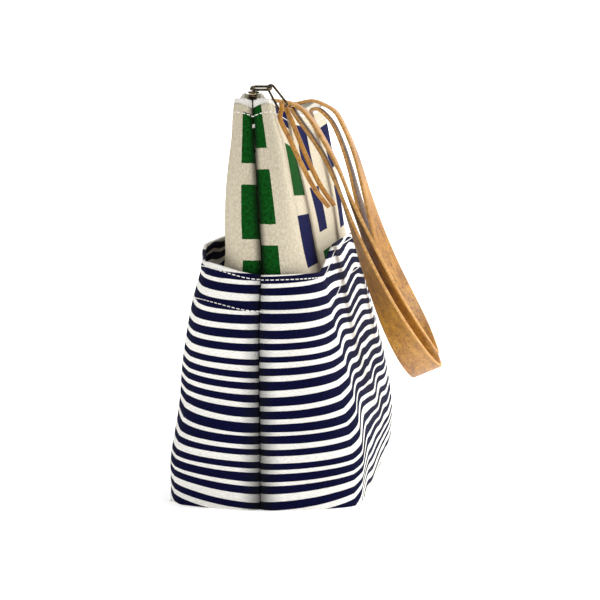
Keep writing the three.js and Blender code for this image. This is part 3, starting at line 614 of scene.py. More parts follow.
aged_metal, tree, shader = start_material("antique brass plating", Metallic=1.0, Roughness=0.34)
stain = noise(tree, add_node(tree, "ShaderNodeTexCoord").outputs["Object"], 520.0, 4.0)[0]
rubbed = add_node(tree, "ShaderNodeNewGeometry").outputs["Pointiness"]
worn = maths(tree, "MULTIPLY_ADD", stain, 0.35, rubbed)
plating = ramp(tree, worn, (0.50, "#1C1812"), (0.70, "#4C4233"), (0.88, "#A89674"))
tree.links.new(plating, shader.inputs["Base Color"])
tree.links.new(map_range(tree, stain, 0.3, 0.7, 0.24, 0.5), shader.inputs["Roughness"])

nylon, tree, shader = start_material("moulded nylon", Roughness=0.45)
cloudy = noise(tree, add_node(tree, "ShaderNodeTexCoord").outputs["Object"], 300.0, 2.0)[0]
tree.links.new(ramp(tree, cloudy, (0.3, "#6B6454"), (0.7, "#8B8470")), shader.inputs["Base Color"])
print("materials", len(bpy.data.materials))

# %% [markdown]
# The upper body. Sewn canvas is stiff but not flat: it has long soft folds that start at the seams and
# the pocket edge. They are slow waves, added along the skin's own outward direction, and they fade out
# under the pocket, where the two cloths lie together.

# %% Body panels
SIDES = (("front", 1), ("back", -1))
ends = np.linspace(0, END_SHARE, 40)
middle = np.linspace(END_SHARE, 1 - END_SHARE, 111)[1:-1]
COLUMNS = np.concatenate([ends, middle, (1 - ends)[::-1]])
FOLD, SLANT, FOLDS_FROM, FOLDS_TO = 1.1, 0.3, 150, 262
NOTCH_AT_SEAM, NOTCH_ON_SIDE, NOTCH_FROM = 3.6, 1.6, 268


def round_the_bag(side, on_print=True):
    """Metres of cloth from the near seam to each column; on_print adds the place on the printed cloth."""
    row = skin(side, COLUMNS, np.full_like(COLUMNS, POCKET))
    return walked_along(row[:, :2]) * MM + (BACK_PRINT if on_print and side < 0 else 0.0)


def folds(side, u, z):
    """How far the canvas is pushed out by its folds, which fade under the pocket and at the mouth."""
    y = (u - 0.5) * LENGTH
    upper = ease((z - FOLDS_FROM) / 60)
    near_top = 1 - ease((z - FOLDS_TO) / 30)
    long_waves = np.sin(y / 23 + side * 1.3 + z / 60) + 0.6 * np.sin(y / 41 - z / 33 + side)
    slant = np.sin(z / 17 + y / 30 + side * 2.0)
    seam = ease(np.minimum(u, 1 - u) / 0.08)
    return (long_waves * FOLD + slant * SLANT) * upper * near_top * seam


def seam_notch(u, z):
    """The canvas is cut lower towards the end seams, where the pale facing shows above it."""
    v = np.minimum(u, 1 - u)
    at_seam = NOTCH_AT_SEAM * np.clip(1 - v / (END_SHARE * 0.8), 0, 1) ** 1.3
    on_side = NOTCH_ON_SIDE * (1 - ease((v - END_SHARE) / 0.08))
    return (at_seam + on_side) * ease((z - NOTCH_FROM) / 30)


def lay_sheet(name, material, side, rows, bend, inner, outer, lower=None, place=skin):
    """A cloth from one end seam to the other, between two distances from its own bent face."""
    u, z = np.meshgrid(COLUMNS, rows)
    height = z if place is skin else place(side, u, z)[..., 2]
    faces = []
    for off in (outer, inner):
        points = place(side, u, z, bend(side, u, z) + off)
        if lower is not None:
            points[..., 2] -= lower(u, z)
        faces.append(points)
    return cloth_sheet(name, *faces, pairs(round_the_bag(side), height * MM), material)


body_rows = np.concatenate([np.linspace(0, POCKET, 60), np.linspace(POCKET, HEIGHT, 70)[1:]])
for place_name, side in SIDES:
    dress(lay_sheet(f"canvas_{place_name}", printed_canvas, side, body_rows, folds, -CANVAS, 0.0, seam_notch),
          "bag", "printed_canvas", f"{place_name}_panel")

# %% [markdown]
# The lining hangs just inside the canvas, and the facing is the pale strip that it is sewn to. Above the
# canvas the facing shows as a lip, which is lumpy because four plies are turned in there.

# %% Lining and facing
facing_face = -CANVAS - PLY_GAP
lining_face = facing_face - PLY_GAP
LIP_DEPTH = 8  # of the facing's upper part, which lies in front of the canvas


def lip_lumps(side):
    y = (COLUMNS - 0.5) * LENGTH
    lumps = 0.45 * np.sin(y / 3.1 + side) + 0.35 * np.sin(y / 1.7 + 1.3 * side) - 0.7
    return lumps * 0.8


def round_lip(name, side, foot):
    """The facing: rows go up the outer face, round the rolled lip and down inside."""
    inner, outer = facing_face - LINING, -PLY_GAP
    centre, radius = (inner + outer) / 2, (outer - inner) / 2
    levels = np.append(foot, body_rows[body_rows > foot + 0.5])
    bends = [folds(side, COLUMNS, z) for z in levels]
    rows = [((outer if z > HEIGHT - LIP_DEPTH else facing_face) + bend, z, 0.0)
            for z, bend in zip(levels, bends)]
    rows += [(centre + radius * math.cos(a), HEIGHT, FACING_RISE - radius + radius * math.sin(a))
             for a in np.linspace(0, math.pi, 9)]
    rows += [(inner + bend, z, 0.0) for z, bend in zip(levels[::-1], bends[::-1])]
    flatter = 1 - 0.6 * np.exp(-((np.minimum(COLUMNS, 1 - COLUMNS) / 0.05) ** 2))
    lines = []
    for off, z, lift in rows:
        line = skin(side, COLUMNS, np.full_like(COLUMNS, z), off)
        line[:, 2] += (lift + lip_lumps(side) * (lift > 0)) * flatter
        lines.append(line)
    steps = [np.median(np.linalg.norm(b - a, axis=1)) for a, b in zip(lines, lines[1:])]
    uv = pairs(round_the_bag(side, on_print=False)[:, None], np.cumsum([0.0] + steps) * MM)
    return tube(name, np.stack(lines, axis=1), [lining_cloth], uv)


for place_name, side in SIDES:
    lining = lay_sheet(
        f"cotton_lining_{place_name}", lining_cloth, side, np.linspace(4, HEIGHT - FACING_DEPTH - 3, 50),
        folds, lining_face - LINING, lining_face)
    dress(lining, "bag", "lining_cloth", f"lining_{place_name}")
    dress(round_lip(f"facing_lip_{place_name}", side, HEIGHT - FACING_DEPTH),
          "bag", "lining_cloth", f"facing_{place_name}")

# %% [markdown]
# The bottom of the bag is a stiffened panel of the pocket cloth, with the lining above it. Its outline
# is the body's own outline at the floor.

# %% Base
front = skin(1, COLUMNS, np.zeros_like(COLUMNS), facing_face)
back = skin(-1, COLUMNS, np.zeros_like(COLUMNS), facing_face)
across = np.linspace(0, 1, 25)[:, None, None]
for name, z, thick, material, slot, node in (
    ("bottom_cloth", 0.0, CANVAS, pocket_cloth, "pocket_cloth", "base_panel"),
    ("bottom_lining", CANVAS + PLY_GAP, LINING, lining_cloth, "lining_cloth", "lining_base"),
):
    low = back * (1 - across) + front * across
    low[..., 2] = z
    top = low + (0, 0, thick)
    dress(cloth_sheet(name, top, low, top[..., :2] * MM, material), "bag", slot, node)

# %% [markdown]
# The pockets go right round each half of the bag and stand open at the corners. They hold no shape of
# their own, so they sag: the cloth is fullest low down, and it puckers where the end seams are sewn.

# %% Pockets
# how far each side stands open at its corners and in its middle, and how high its edge is at the seams,
# at the corners and in the middle
OPEN = {1: (5.0, 9.0, -7.0, -6.5, 9.5), -1: (11.0, 23.0, -7.0, 1.5, 9.5)}
PARTS_FROM, PARTED = 40, 3.6  # the height where a pocket leaves the body, and its least gap at the edge
FULLNESS, SAG, PUCKER = 1.5, 1.1, 0.35


def pocket_skin(side, u, z, out=0.0):
    """Points of the pocket's inner face, moved outwards. It leaves the body more and more with height."""
    up = ease((z - PARTS_FROM) / (POCKET - PARTS_FROM))
    v = np.minimum(u, 1 - u)
    from_seam = ease(v / END_SHARE)
    inwards = ease((v - END_SHARE) / 0.16)
    corner, middle, seam_rise, corner_rise, middle_rise = OPEN[side]
    rise = seam_rise + (corner_rise - seam_rise) * from_seam + (middle_rise - corner_rise) * inwards
    points = skin(side, u, z + up * rise, PLY_GAP + PARTED * up + out)
    points[..., 0] += side * up * (corner * from_seam + (middle - corner) * inwards)
    return points


def pocket_folds(side, u, z):
    """Slow folds and the seam's pucker, which fade out at the floor and at the sewn edge."""
    y = (u - 0.5) * LENGTH
    free = ease((z - 25) / 60)
    v = np.minimum(u, 1 - u)
    seam = ease(v / 0.05)
    slow = np.sin(z / 21 + y / 37 + side * 1.1) + 0.7 * np.sin(y / 19 + z / 45 + side * 2.4)
    pucker = np.sin(z / 4.3 + side) * np.exp(-((v / 0.02) ** 2)) * ease((z - 8) / 20)
    held = ease(z / 30) * ease((POCKET + 12 - z) / 40)
    return (FULLNESS + free * seam * slow * SAG + pucker * PUCKER) * held


for place_name, side in SIDES:
    pocket = lay_sheet(
        f"striped_pocket_{place_name}", pocket_cloth, side, np.linspace(0, POCKET, 110),
        pocket_folds, 0.0, CANVAS, place=pocket_skin)
    dress(pocket, "bag", "pocket_cloth", f"pocket_{place_name}")

# %% [markdown]
# The pocket's raw edge is turned inwards and sewn down. The turned edge is a narrow fold of the same
# printed cloth, carried along the pocket's upper edge and leaning the way that the cloth leans. Its UV map
# goes on from the pocket's own, so that the stripes run on over the edge.

# %% Pocket hems
HEM_DEPTH = 8.0
HEM_INSIDE = 0.6
HEM_PROUD = 0.45


def pocket_line(side, z, out=0.0):
    u = COLUMNS[1:-1]
    z = np.full_like(u, z)
    return pocket_skin(side, u, z, pocket_folds(side, u, z) + out)


def hem_section():
    """From under the pocket's outer face, up over the edge, and down inside."""
    inner, outer = -PLY_GAP, CANVAS
    middle = (inner + outer) / 2
    wide = (outer - inner) / 2 + HEM_PROUD
    section = [(outer - 0.1, -HEM_DEPTH), (outer + 0.05, -HEM_DEPTH + 1.0)]
    section += [(outer + HEM_PROUD * share, -HEM_DEPTH * down)
                for down, share in ((0.7, 0.5), (0.5, 0.85), (0.25, 1.0))]
    section += [(middle + wide * math.cos(a), 0.3 + wide * 0.6 * math.sin(a))
                for a in np.linspace(0, math.pi, 9)]
    section += [(inner - HEM_INSIDE, -HEM_DEPTH), (inner, -HEM_DEPTH), (inner, 0.1), (outer - 0.2, 0.1)]
    return np.array(section)


for place_name, side in SIDES:
    at = pocket_line(side, POCKET)
    up = unit(at - pocket_line(side, POCKET - HEM_DEPTH))
    out = square_to(pocket_line(side, POCKET, 1.0) - at, up)
    section = hem_section()
    uv = pairs(round_the_bag(side)[1:-1, None], (at[:, None, 2] + section[:, 1]) * MM)
    hem = carry_section(f"pocket_hem_{place_name}", at, out, up, section, [pocket_cloth], uv=uv)
    dress(hem, "bag", "binding_cloth", f"pocket_binding_{place_name}")

# %% [markdown]
# The zip lies in a shallow arc between the two lips. Each tape is flat beside the coil and then slopes
# down to the lip, so that the two make a small roof at the ends of the bag, where the cloth puffs up.

# %% Zip tapes
ZIP_RADIUS = 2230.0
ZIP_LOW = 291.1
ZIP_NEAR, ZIP_FAR = 6.2 - HALF, HALF - 9
TAPE = 0.8
TAPE_FLAT, TAPE_PUFFS_FROM, TAPE_HALF_WIDTH = 5.2, 4.0, 10.9
TAPE_PUFF, PUFF_REACH, TAPE_TURN = 2.2, 6, 1.6


def zip_height(y):
    return ZIP_LOW + (y - DIP_MIDDLE) ** 2 / (2 * ZIP_RADIUS)


def with_folded_ends(top):
    """Turns the ends of a tape down, which closes the space under it."""
    bend = np.linspace(0, math.pi / 2, 6)[1:, None]
    folded = []
    for row, way in ((top[0], -1), (top[-1], 1)):
        fall = np.clip(row[None, :, 2] - (HEIGHT - mouth_dip(row[0, 1])) - 0.6, 0, None)
        fold = np.repeat(row[None], len(bend), axis=0)
        fold[..., 1] += way * TAPE_TURN * np.sin(bend)
        fold[..., 2] -= fall * (1 - np.cos(bend))
        folded.append(fold)
    return np.concatenate([folded[0][::-1], top, folded[1]])


y = np.linspace(ZIP_NEAR, ZIP_FAR, 160)[:, None]
x = np.array([2.95, TAPE_PUFFS_FROM, TAPE_FLAT, 6.2, 7.4, 8.8, 10.0, TAPE_HALF_WIDTH])
sloping = np.clip((x - TAPE_FLAT) / (TAPE_HALF_WIDTH - TAPE_FLAT), 0, 1)
slope = 0.35 * ease(sloping) + 0.65 * sloping
puff = np.sin(math.pi * np.clip((x - TAPE_PUFFS_FROM) / (TAPE_HALF_WIDTH - TAPE_PUFFS_FROM), 0, 1)) ** 2
at_end = sum(share * np.exp(-(((y - end) / PUFF_REACH) ** 2))
             for end, share in ((ZIP_NEAR, 1), (ZIP_FAR, 0.5)))
drop = HEIGHT - mouth_dip(y) + PLY_GAP - zip_height(y)
tape_height = zip_height(y) + slope * drop + TAPE_PUFF * puff * at_end
for place_name, side in SIDES:
    top = with_folded_ends(np.stack(np.broadcast_arrays(MOUTH_X + side * x, y, tape_height), axis=-1))
    uv = pairs(x * MM, top[:, :1, 1] * MM)
    dress(cloth_sheet(f"woven_tape_{place_name}", top, top - (0, 0, TAPE), uv, tape_cloth),
          "bag", "zip_tape", f"zip_tape_{place_name}")

# %% [markdown]
# What repeats is made by Geometry Nodes: the teeth of the coil, and every row of stitches. One tree does
# both. It walks along a path in equal steps, sets a small rod at each step, turned along the path or
# across it, and gives the result real faces and a material. A stitch is a rod with rounded ends.

# %% Rods along a path
def rods_along_a_path():
    tree = bpy.data.node_groups.new("rods along a path", "GeometryNodeTree")
    face = tree.interface
    for name, kind in (("Path", "Geometry"), ("Step", "Float"), ("Rod length", "Float"),
                       ("Rod radius", "Float"), ("Offset", "Float"), ("Across", "Bool"),
                       ("Finish", "Material")):
        face.new_socket(name, in_out="INPUT", socket_type="NodeSocket" + kind)
    face.new_socket("Rods", in_out="OUTPUT", socket_type="NodeSocketGeometry")
    given = add_node(tree, "NodeGroupInput").outputs

    def step(kind, settings=None, **inputs):
        """Adds one geometry node and gives its first output; underscores stand for spaces."""
        inputs = {key.replace("_", " ").strip(): value for key, value in inputs.items()}
        return add_node(tree, "GeometryNode" + kind, settings, inputs).outputs[0]

    curve = step("MeshToCurve", Mesh=given["Path"])
    start = maths(tree, "DIVIDE", given["Offset"], step("CurveLength", Curve=curve))
    trimmed = step("TrimCurve", Curve=curve, Start=start)
    walk = step("ResampleCurve", {"mode": "LENGTH"}, Curve=trimmed, Length=given["Step"])
    tangent = step("InputTangent")
    side_way = add_node(tree, "ShaderNodeVectorMath", {"operation": "CROSS_PRODUCT"}, {
        0: tangent, 1: (0.0, 0.0, 1.0)}).outputs[0]
    way = step("Switch", {"input_type": "VECTOR"}, Switch=given["Across"], False_=tangent, True_=side_way)
    turned = add_node(tree, "FunctionNodeAlignRotationToVector", {"axis": "Z"}, {"Vector": way}).outputs[0]
    ball = step("MeshUVSphere", Segments=8, Rings=6, Radius=given["Rod radius"])
    up_or_down = maths(tree, "SIGN", axes_of(tree, step("InputPosition"))["Z"])
    body = maths(tree, "SUBTRACT", maths(tree, "MULTIPLY", given["Rod length"], 0.5), given["Rod radius"])
    pull = add_node(tree, "ShaderNodeCombineXYZ", {}, {"Z": maths(tree, "MULTIPLY", up_or_down, body)})
    rod = step("SetPosition", Geometry=ball, Offset=pull.outputs[0])
    placed = step("InstanceOnPoints", Points=walk, Instance=rod, Rotation=turned)
    soft = step("SetShadeSmooth", Geometry=step("RealizeInstances", Geometry=placed))
    finished = step("SetMaterial", Geometry=soft, Material=given["Finish"])
    tree.links.new(finished, add_node(tree, "NodeGroupOutput").inputs[0])
    return tree


rod_tree = rods_along_a_path()


def apply_modifiers(obj):
    bpy.context.view_layer.update()
    solid = bpy.data.meshes.new_from_object(obj.evaluated_get(bpy.context.evaluated_depsgraph_get()))
    obj.modifiers.clear()
    obj.data = solid


def rods(name, paths, step, rod_length, radius, material, across=False, offset=0.0):
    """Runs the tree over paths of points in millimetres and keeps the result as a plain mesh."""
    edges, first = [], 0
    for path in paths:
        edges += [(first + k, first + k + 1) for k in range(len(path) - 1)]
        first += len(path)
    mesh = bpy.data.meshes.new(name + "_path")
    mesh.from_pydata([tuple(p) for p in np.concatenate(paths) * MM], edges, [])
    obj = linked(name, mesh)
    modifier = obj.modifiers.new("rods", "NODES")
    modifier.node_group = rod_tree
    sockets = {item.name: item.identifier for item in rod_tree.interface.items_tree if item.in_out == "INPUT"}
    for key, value in (("Step", step * MM), ("Rod length", rod_length * MM), ("Rod radius", radius * MM),
                       ("Offset", offset * MM), ("Across", across), ("Finish", material)):
        modifier[sockets[key]] = value
    apply_modifiers(obj)
    obj.data.name = name
    place_uv(obj.data)
    return obj


def place_uv(mesh):
    """A simple UV map from the place of each corner, enough for a fine thread texture."""
    while mesh.uv_layers:
        mesh.uv_layers.remove(mesh.uv_layers[0])
    spots = np.zeros(len(mesh.vertices) * 3)
    mesh.vertices.foreach_get("co", spots)
    x, y, z = spots.reshape(-1, 3)[corner_points(mesh)].T
    mesh.uv_layers.new(name="cloth").data.foreach_set("uv", pairs(x + y, z).astype(np.float32).ravel())


# %% Coil teeth
TOOTH_STEP, TOOTH, TOOTH_RADIUS = 1.5, 2.9, 0.55
FIRST_TOOTH, COIL_CENTRE = 0.2, 1.35
for (place_name, side), offset in zip(SIDES, (FIRST_TOOTH, FIRST_TOOTH + TOOTH_STEP / 2)):
    y = np.linspace(ZIP_NEAR + 0.5, ZIP_FAR - 0.5, 200)
    path = np.stack([np.full_like(y, MOUTH_X + side * COIL_CENTRE), y, zip_height(y) - 0.1], axis=-1)
    teeth = rods(f"nylon_coil_{place_name}", [path], TOOTH_STEP, TOOTH, TOOTH_RADIUS, nylon,
                 across=True, offset=offset)
    dress(teeth, "bag", "zip_coil", f"zip_coil_{place_name}")

# %% [markdown]
# Stops are small clamps of plated zinc at each end of the coil: short bars with rounded edges.

# %% Zip stops
STOP_SIZE, STOP_AWAY = (5.2, 2.1, 1.6), 1.4


def rounded_box(name, centre, size, bevel, turn=None):
    corners = [(i, j, k) for i in (-1, 1) for j in (-1, 1) for k in (-1, 1)]
    faces = [[0, 1, 3, 2], [4, 6, 7, 5], [0, 4, 5, 1], [2, 3, 7, 6], [0, 2, 6, 4], [1, 5, 7, 3]]
    points = np.array(corners) * size / 2
    if turn is not None:
        points = points @ turn.T
    obj = mesh_object(name, points + centre, faces, [aged_metal])
    modifier = obj.modifiers.new("rounded edges", "BEVEL")
    modifier.width = bevel * MM
    modifier.segments = 3
    modifier.limit_method = "NONE"
    apply_modifiers(obj)
    return obj


for place_name, y in (("near", ZIP_NEAR - STOP_AWAY), ("far", ZIP_FAR + STOP_AWAY)):
    stop = rounded_box(f"stop_{place_name}", (MOUTH_X, y, zip_height(y) - 0.1), STOP_SIZE, 0.5)
    dress(stop, "bag", "aged_metal", f"zip_stop_{place_name}")

# %% [markdown]
# The slider is a casting: two shield-shaped plates joined by a post, with a bridge on top through which
# the pull ring passes. It is built flat about its own middle and then set on the zip's arc.

# %% Slider
SLIDER_Y = ZIP_NEAR + 5.8
COIL_TOP, COIL_BOTTOM = 0.7, 0.9
PLATE, PLATE_GAP, RIM, RIM_SHARE = 1.1, 0.4, 0.3, 0.86
CROWN_SPAN, CROWN_FOOT = 8, 1.2
upper_plate = COIL_TOP + PLATE_GAP
lower_plate = -COIL_BOTTOM - PLATE_GAP - PLATE
slide_angle = math.atan((SLIDER_Y - DIP_MIDDLE) / ZIP_RADIUS)
slide_turn = np.array([
    [1, 0, 0],
    [0, math.cos(slide_angle), -math.sin(slide_angle)],
    [0, math.sin(slide_angle), math.cos(slide_angle)],
])
slide_at = np.array([MOUTH_X, SLIDER_Y, zip_height(SLIDER_Y)])


def on_slider(points):
    return np.asarray(points) @ slide_turn.T + slide_at


def plate(name, low):
    """A shield with bevelled rims: broad at the near end where the two coils part, narrow at the tail."""
    right_side = [(2.6, -5.0), (3.6, -4.5), (4.2, -3.2), (4.2, -0.5), (3.9, 1.6), (3.3, 3.4), (2.7, 5.0)]
    outline = right_side + [(-x, y) for x, y in reversed(right_side)]
    levels = [(RIM_SHARE, low), (1.0, low + RIM), (1.0, low + PLATE - RIM), (RIM_SHARE, low + PLATE)]
    rings = np.array([[(x * s, y * s, z) for x, y in outline] for s, z in levels])
    return tube(name, on_slider(rings), [aged_metal], smooth=False)


def catmull_rom(points, per_span):
    """A centripetal curve through all points, which neither loops nor overshoots between them."""
    p = np.asarray(points, float)
    p = np.concatenate([[2 * p[0] - p[1]], p, [2 * p[-1] - p[-2]]])
    t = np.linspace(0, 1, per_span, endpoint=False)[:, None]
    result = []
    for a, b, c, d in zip(p[:-3], p[1:-2], p[2:-1], p[3:]):
        t0, t1, t2 = (math.sqrt(max(np.linalg.norm(w), 1e-9)) for w in (b - a, c - b, d - c))
        leave = ((b - a) / t0 - (c - a) / (t0 + t1) + (c - b) / t1) * t1
        arrive = ((c - b) / t1 - (d - b) / (t1 + t2) + (d - c) / t2) * t1
        result.append(hermite(t, b, c, leave, arrive))
    return np.concatenate(result + [p[-2:-1]])


def at_lengths(line, walked, wanted):
    """Points of a line at wanted lengths along it."""
    return np.stack([np.interp(wanted, walked, line[:, k]) for k in range(line.shape[1])], axis=-1)


def resample(points, count):
    """Points at equal steps along a smooth curve through the given ones."""
    dense = catmull_rom(points, 40)
    walked = walked_along(dense)
    return at_lengths(dense, walked, np.linspace(0, walked[-1], count))


def chamfered(half_wide, half_thick, cut):
    """A rectangular section with its corners cut off."""
    w, t = half_wide, half_thick
    return np.array([(-w, -t + cut), (-w + cut, -t), (w - cut, -t), (w, -t + cut),
                     (w, t - cut), (w - cut, t), (-w + cut, t), (-w, t - cut)])


def bridge():
    """The crown over the upper plate: a flat strip bent into a low arch."""
    line = [(-3.9, 2.1), (-3.6, 4.2), (-2.4, 5.8), (0, 6.3), (2.4, 5.8), (3.6, 4.2), (3.9, 2.1)]
    path = resample(np.array([(0, y, z) for y, z in line]), 24)
    side_way = np.tile((1.0, 0, 0), (len(path), 1))
    out = np.cross(unit(np.gradient(path, axis=0)), side_way)
    return carry_section("bridge", on_slider(path), side_way @ slide_turn.T, out @ slide_turn.T,
                         chamfered(0.55, 0.55, 0.25), [aged_metal], length=0.01)


def join(name, parts):
    """Joins meshes into one object without operators."""
    points, faces, shade = [], [], []
    for part in parts:
        first = len(points)
        points += [tuple(v.co) for v in part.data.vertices]
        faces += [[first + i for i in p.vertices] for p in part.data.polygons]
        shade += [p.use_smooth for p in part.data.polygons]
        bpy.data.objects.remove(part)
    return mesh_object(name, np.array(points) / MM, faces, [aged_metal], smooth=shade)


post = rounded_box("post", on_slider((0, -3.5, 0)), (1.2, 3.0, 3.4), 0.3, slide_turn)
slider = join("zip_slider", [plate("upper", upper_plate), plate("lower", lower_plate), post, bridge()])
dress(slider, "slider", "aged_metal", "slider_body")

# %% [markdown]
# The pull is made of bent wire: an oval ring through the bridge, and a long narrow bail that hangs from
# the ring. A wire is a circle carried round a closed path.

# %% Ring and bail
RING_WIRE, RING_LENGTH, RING_WIDTH, RING_CORNER, RING_LEFT_REACH = 2.0, 16.3, 9.5, 2.5, 2.1
RING_TILT = math.radians(24)
BAIL_WIRE, BAIL_LENGTH, BAIL_WIDTH, BAIL_CORNER = 1.8, 21.0, 9.0, 1.5
BAIL_SWING = math.radians(34)


def arc(a, b, radius, start, end, count):
    angles = np.radians(np.linspace(start, end, count))
    return [(a + radius * math.cos(t), b + radius * math.sin(t)) for t in angles]


def even_loop(loop, start, first, second):
    """Points at equal steps round a closed flat line, set along two directions."""
    loop = np.array(loop + loop[:1])
    walked = walked_along(loop)
    a, b = at_lengths(loop, walked, np.linspace(0, walked[-1], 96, endpoint=False)).T
    return start + a[:, None] * first + b[:, None] * second


def wire_loop(name, path, wire):
    centre = path.mean(axis=0)
    plane = np.cross(path[0] - centre, path[len(path) // 4] - centre)
    u = np.tile(plane / np.linalg.norm(plane), (len(path), 1))
    v = np.cross(unit(np.roll(path, -1, axis=0) - np.roll(path, 1, axis=0)), u)
    angles = np.linspace(0, 2 * math.pi, 14, endpoint=False)
    section = pairs(np.cos(angles), np.sin(angles)) * wire / 2
    return carry_section(name, path, u, v, section, [aged_metal], length=0.05, closed=True)


ring_start = np.array([
    -RING_LEFT_REACH,
    (RING_WIRE - CROWN_SPAN) / 2 + CROWN_FOOT + PLY_GAP,
    upper_plate + PLATE + PLY_GAP + RING_WIRE / 2,
])
ring_along = np.array([1.0, 0, 0])
ring_away = np.array([0, math.cos(RING_TILT), math.sin(RING_TILT)])
long, wide, corner = RING_LENGTH - RING_WIRE, RING_WIDTH - RING_WIRE, RING_CORNER
ring_line = (arc(long - corner, corner, corner, -90, 0, 9)
             + arc(long - corner, wide - corner, corner, 0, 90, 9)
             + arc(corner, wide - corner, corner, 90, 180, 9)
             + arc(corner, corner, corner, 180, 270, 9))
ring = wire_loop("wire_ring", on_slider(even_loop(ring_line, ring_start, ring_along, ring_away)), RING_WIRE)
dress(ring, "ring", "aged_metal", "pull_ring")

bail_down = np.array([math.sin(BAIL_SWING), 0, -math.cos(BAIL_SWING)])
bail_across = np.array([math.cos(BAIL_SWING), 0, math.sin(BAIL_SWING)])
bail_pin = ring_start + ring_away * wide / 2 + ring_along * long
bail_bend = (RING_WIRE + BAIL_WIRE) / 2 + PLY_GAP
bail_reach = BAIL_LENGTH - BAIL_WIRE - bail_bend
bail_inner = (BAIL_WIDTH - BAIL_WIRE) / 2 - BAIL_CORNER
bail_line = (arc(0, 0, bail_bend, 95, 265, 12)
             + arc(bail_reach - BAIL_CORNER, -bail_inner, BAIL_CORNER, -85, 0, 12)
             + arc(bail_reach - BAIL_CORNER, bail_inner, BAIL_CORNER, 0, 85, 12))
bail = wire_loop("wire_bail", on_slider(even_loop(bail_line, bail_pin, bail_down, bail_across)), BAIL_WIRE)
dress(bail, "pull", "aged_metal", "pull_bail")

# %% [markdown]
# The pull is lengthened by a thin lace of cork, looped over the bail. Its two strands hang beside each
# other and end square. It is stiff, so it keeps the bend in which it was packed.

# %% Lace
LACE_WIDTH, LACE_THICKNESS, LACE_LENGTH = 3.4, 1.8, 190.0
bail_foot = on_slider(bail_pin + bail_down * bail_reach)
room = (BAIL_WIRE + LACE_THICKNESS) / 2 + 4 * PLY_GAP


def hang(out, y, drop):
    """A place beside the bag: out from the middle of the mouth, along the bag, and down from the mouth."""
    return (MOUTH_X + out, y, HEIGHT - drop)


def leg(y, *spots):
    """Such places, from how far out each is, how far along the bag from y, and how far down."""
    return [hang(out, y + along, drop) for out, along, drop in spots]


lace_route = np.array(
    leg(SLIDER_Y, (51.5, 34, 78), (42.5, 23, 65), (33.5, 12, 46), (25.5, 3, 27))
    + [
        hang(19.5, bail_foot[1] - room - 1, 12.5),
        bail_foot + (-1, -room, 0),
        bail_foot - bail_down * room,
        bail_foot + (0.6, room + 0.6, 0),
        hang(25.5, bail_foot[1] + room + 1.6, 11),
    ]
    + leg(SLIDER_Y, (30.5, 10, 24.5), (37.5, 18, 43), (46.5, 29, 63), (55, 39.5, 77)))
lace_path = resample(lace_route, 150)
tangent = unit(np.gradient(lace_path, axis=0))
wide_way = np.cross(tangent, (0.0, 1.0, 0.0))
wide_way[np.linalg.norm(wide_way, axis=1) < 0.05] = bail_across
wide_way = square_to(wide_way, tangent)
for k in range(1, len(wide_way)):
    if wide_way[k] @ wide_way[k - 1] < 0:
        wide_way[k] *= -1
lace = carry_section(
    "cork_lace", lace_path, wide_way, np.cross(tangent, wide_way),
    chamfered(LACE_WIDTH / 2, LACE_THICKNESS / 2, 0.3), [cork_face, cork_edge],
    length=LACE_LENGTH * MM, marks=[0, 0, 0, 1, 1, 0, 0, 1])
dress(lace, "pull", "cork", "pull_lace")

# %% [markdown]
# A handle is one strap of cork fabric. Each end is tucked into the hem, bends over the edge of the mouth
# and hangs; at the bottom of the loop the strap has turned on edge. The strap is a thin section carried
# along one smooth curve, with a direction that turns slowly from lying flat to standing on edge.

# %% Handle routes
STRAP_WIDTH, STRAP, STRAP_TUCKED, TUCK_DEPTH = 25.0, 2.6, 1.0, 21.0
STRAP_CLEAR, STRAP_EASE = 0.65, 8
NEAR, FAR = -107.0, 95.0
strap_centre = COIL_TOP + STRAP_CLEAR + STRAP / 2
hem_inside = MOUTH_HALF - CANVAS - PLY_GAP - STRAP_TUCKED / 2 - 0.05


def back_end(y, arch):
    top = HEIGHT - mouth_dip(y)
    crest = max(zip_height(y - STRAP_WIDTH / 2), zip_height(y + STRAP_WIDTH / 2)) + strap_centre
    return [(MOUTH_X + out, y, z) for out, z in (
        (-hem_inside - 1.6, top - TUCK_DEPTH),
        (-hem_inside - 0.15, top - 3),
        (-hem_inside + 0.2, top + 2),
        (-9.6, crest - 1.6),
        (-4, crest + 0.2 + 0.1 * arch),
        (4, crest + 0.3 + 0.4 * arch),
        (15, crest - 1.2 + 1.2 * arch),
        (25, crest - 5.8 + 1.4 * arch),
    )]


def front_end(y, arch):
    top = HEIGHT - mouth_dip(y)
    return [(MOUTH_X + out, y, z) for out, z in (
        (hem_inside + 1.6, top - TUCK_DEPTH),
        (hem_inside + 0.15, top - 3),
        (hem_inside, top + 1),
        (14.2, top + 3.4 + 0.45 * arch),
        (17.6 + 0.5 * arch, top + 3.4 + 0.4 * arch),
        (20 + arch, top - 0.2 + 0.55 * arch),
    )]


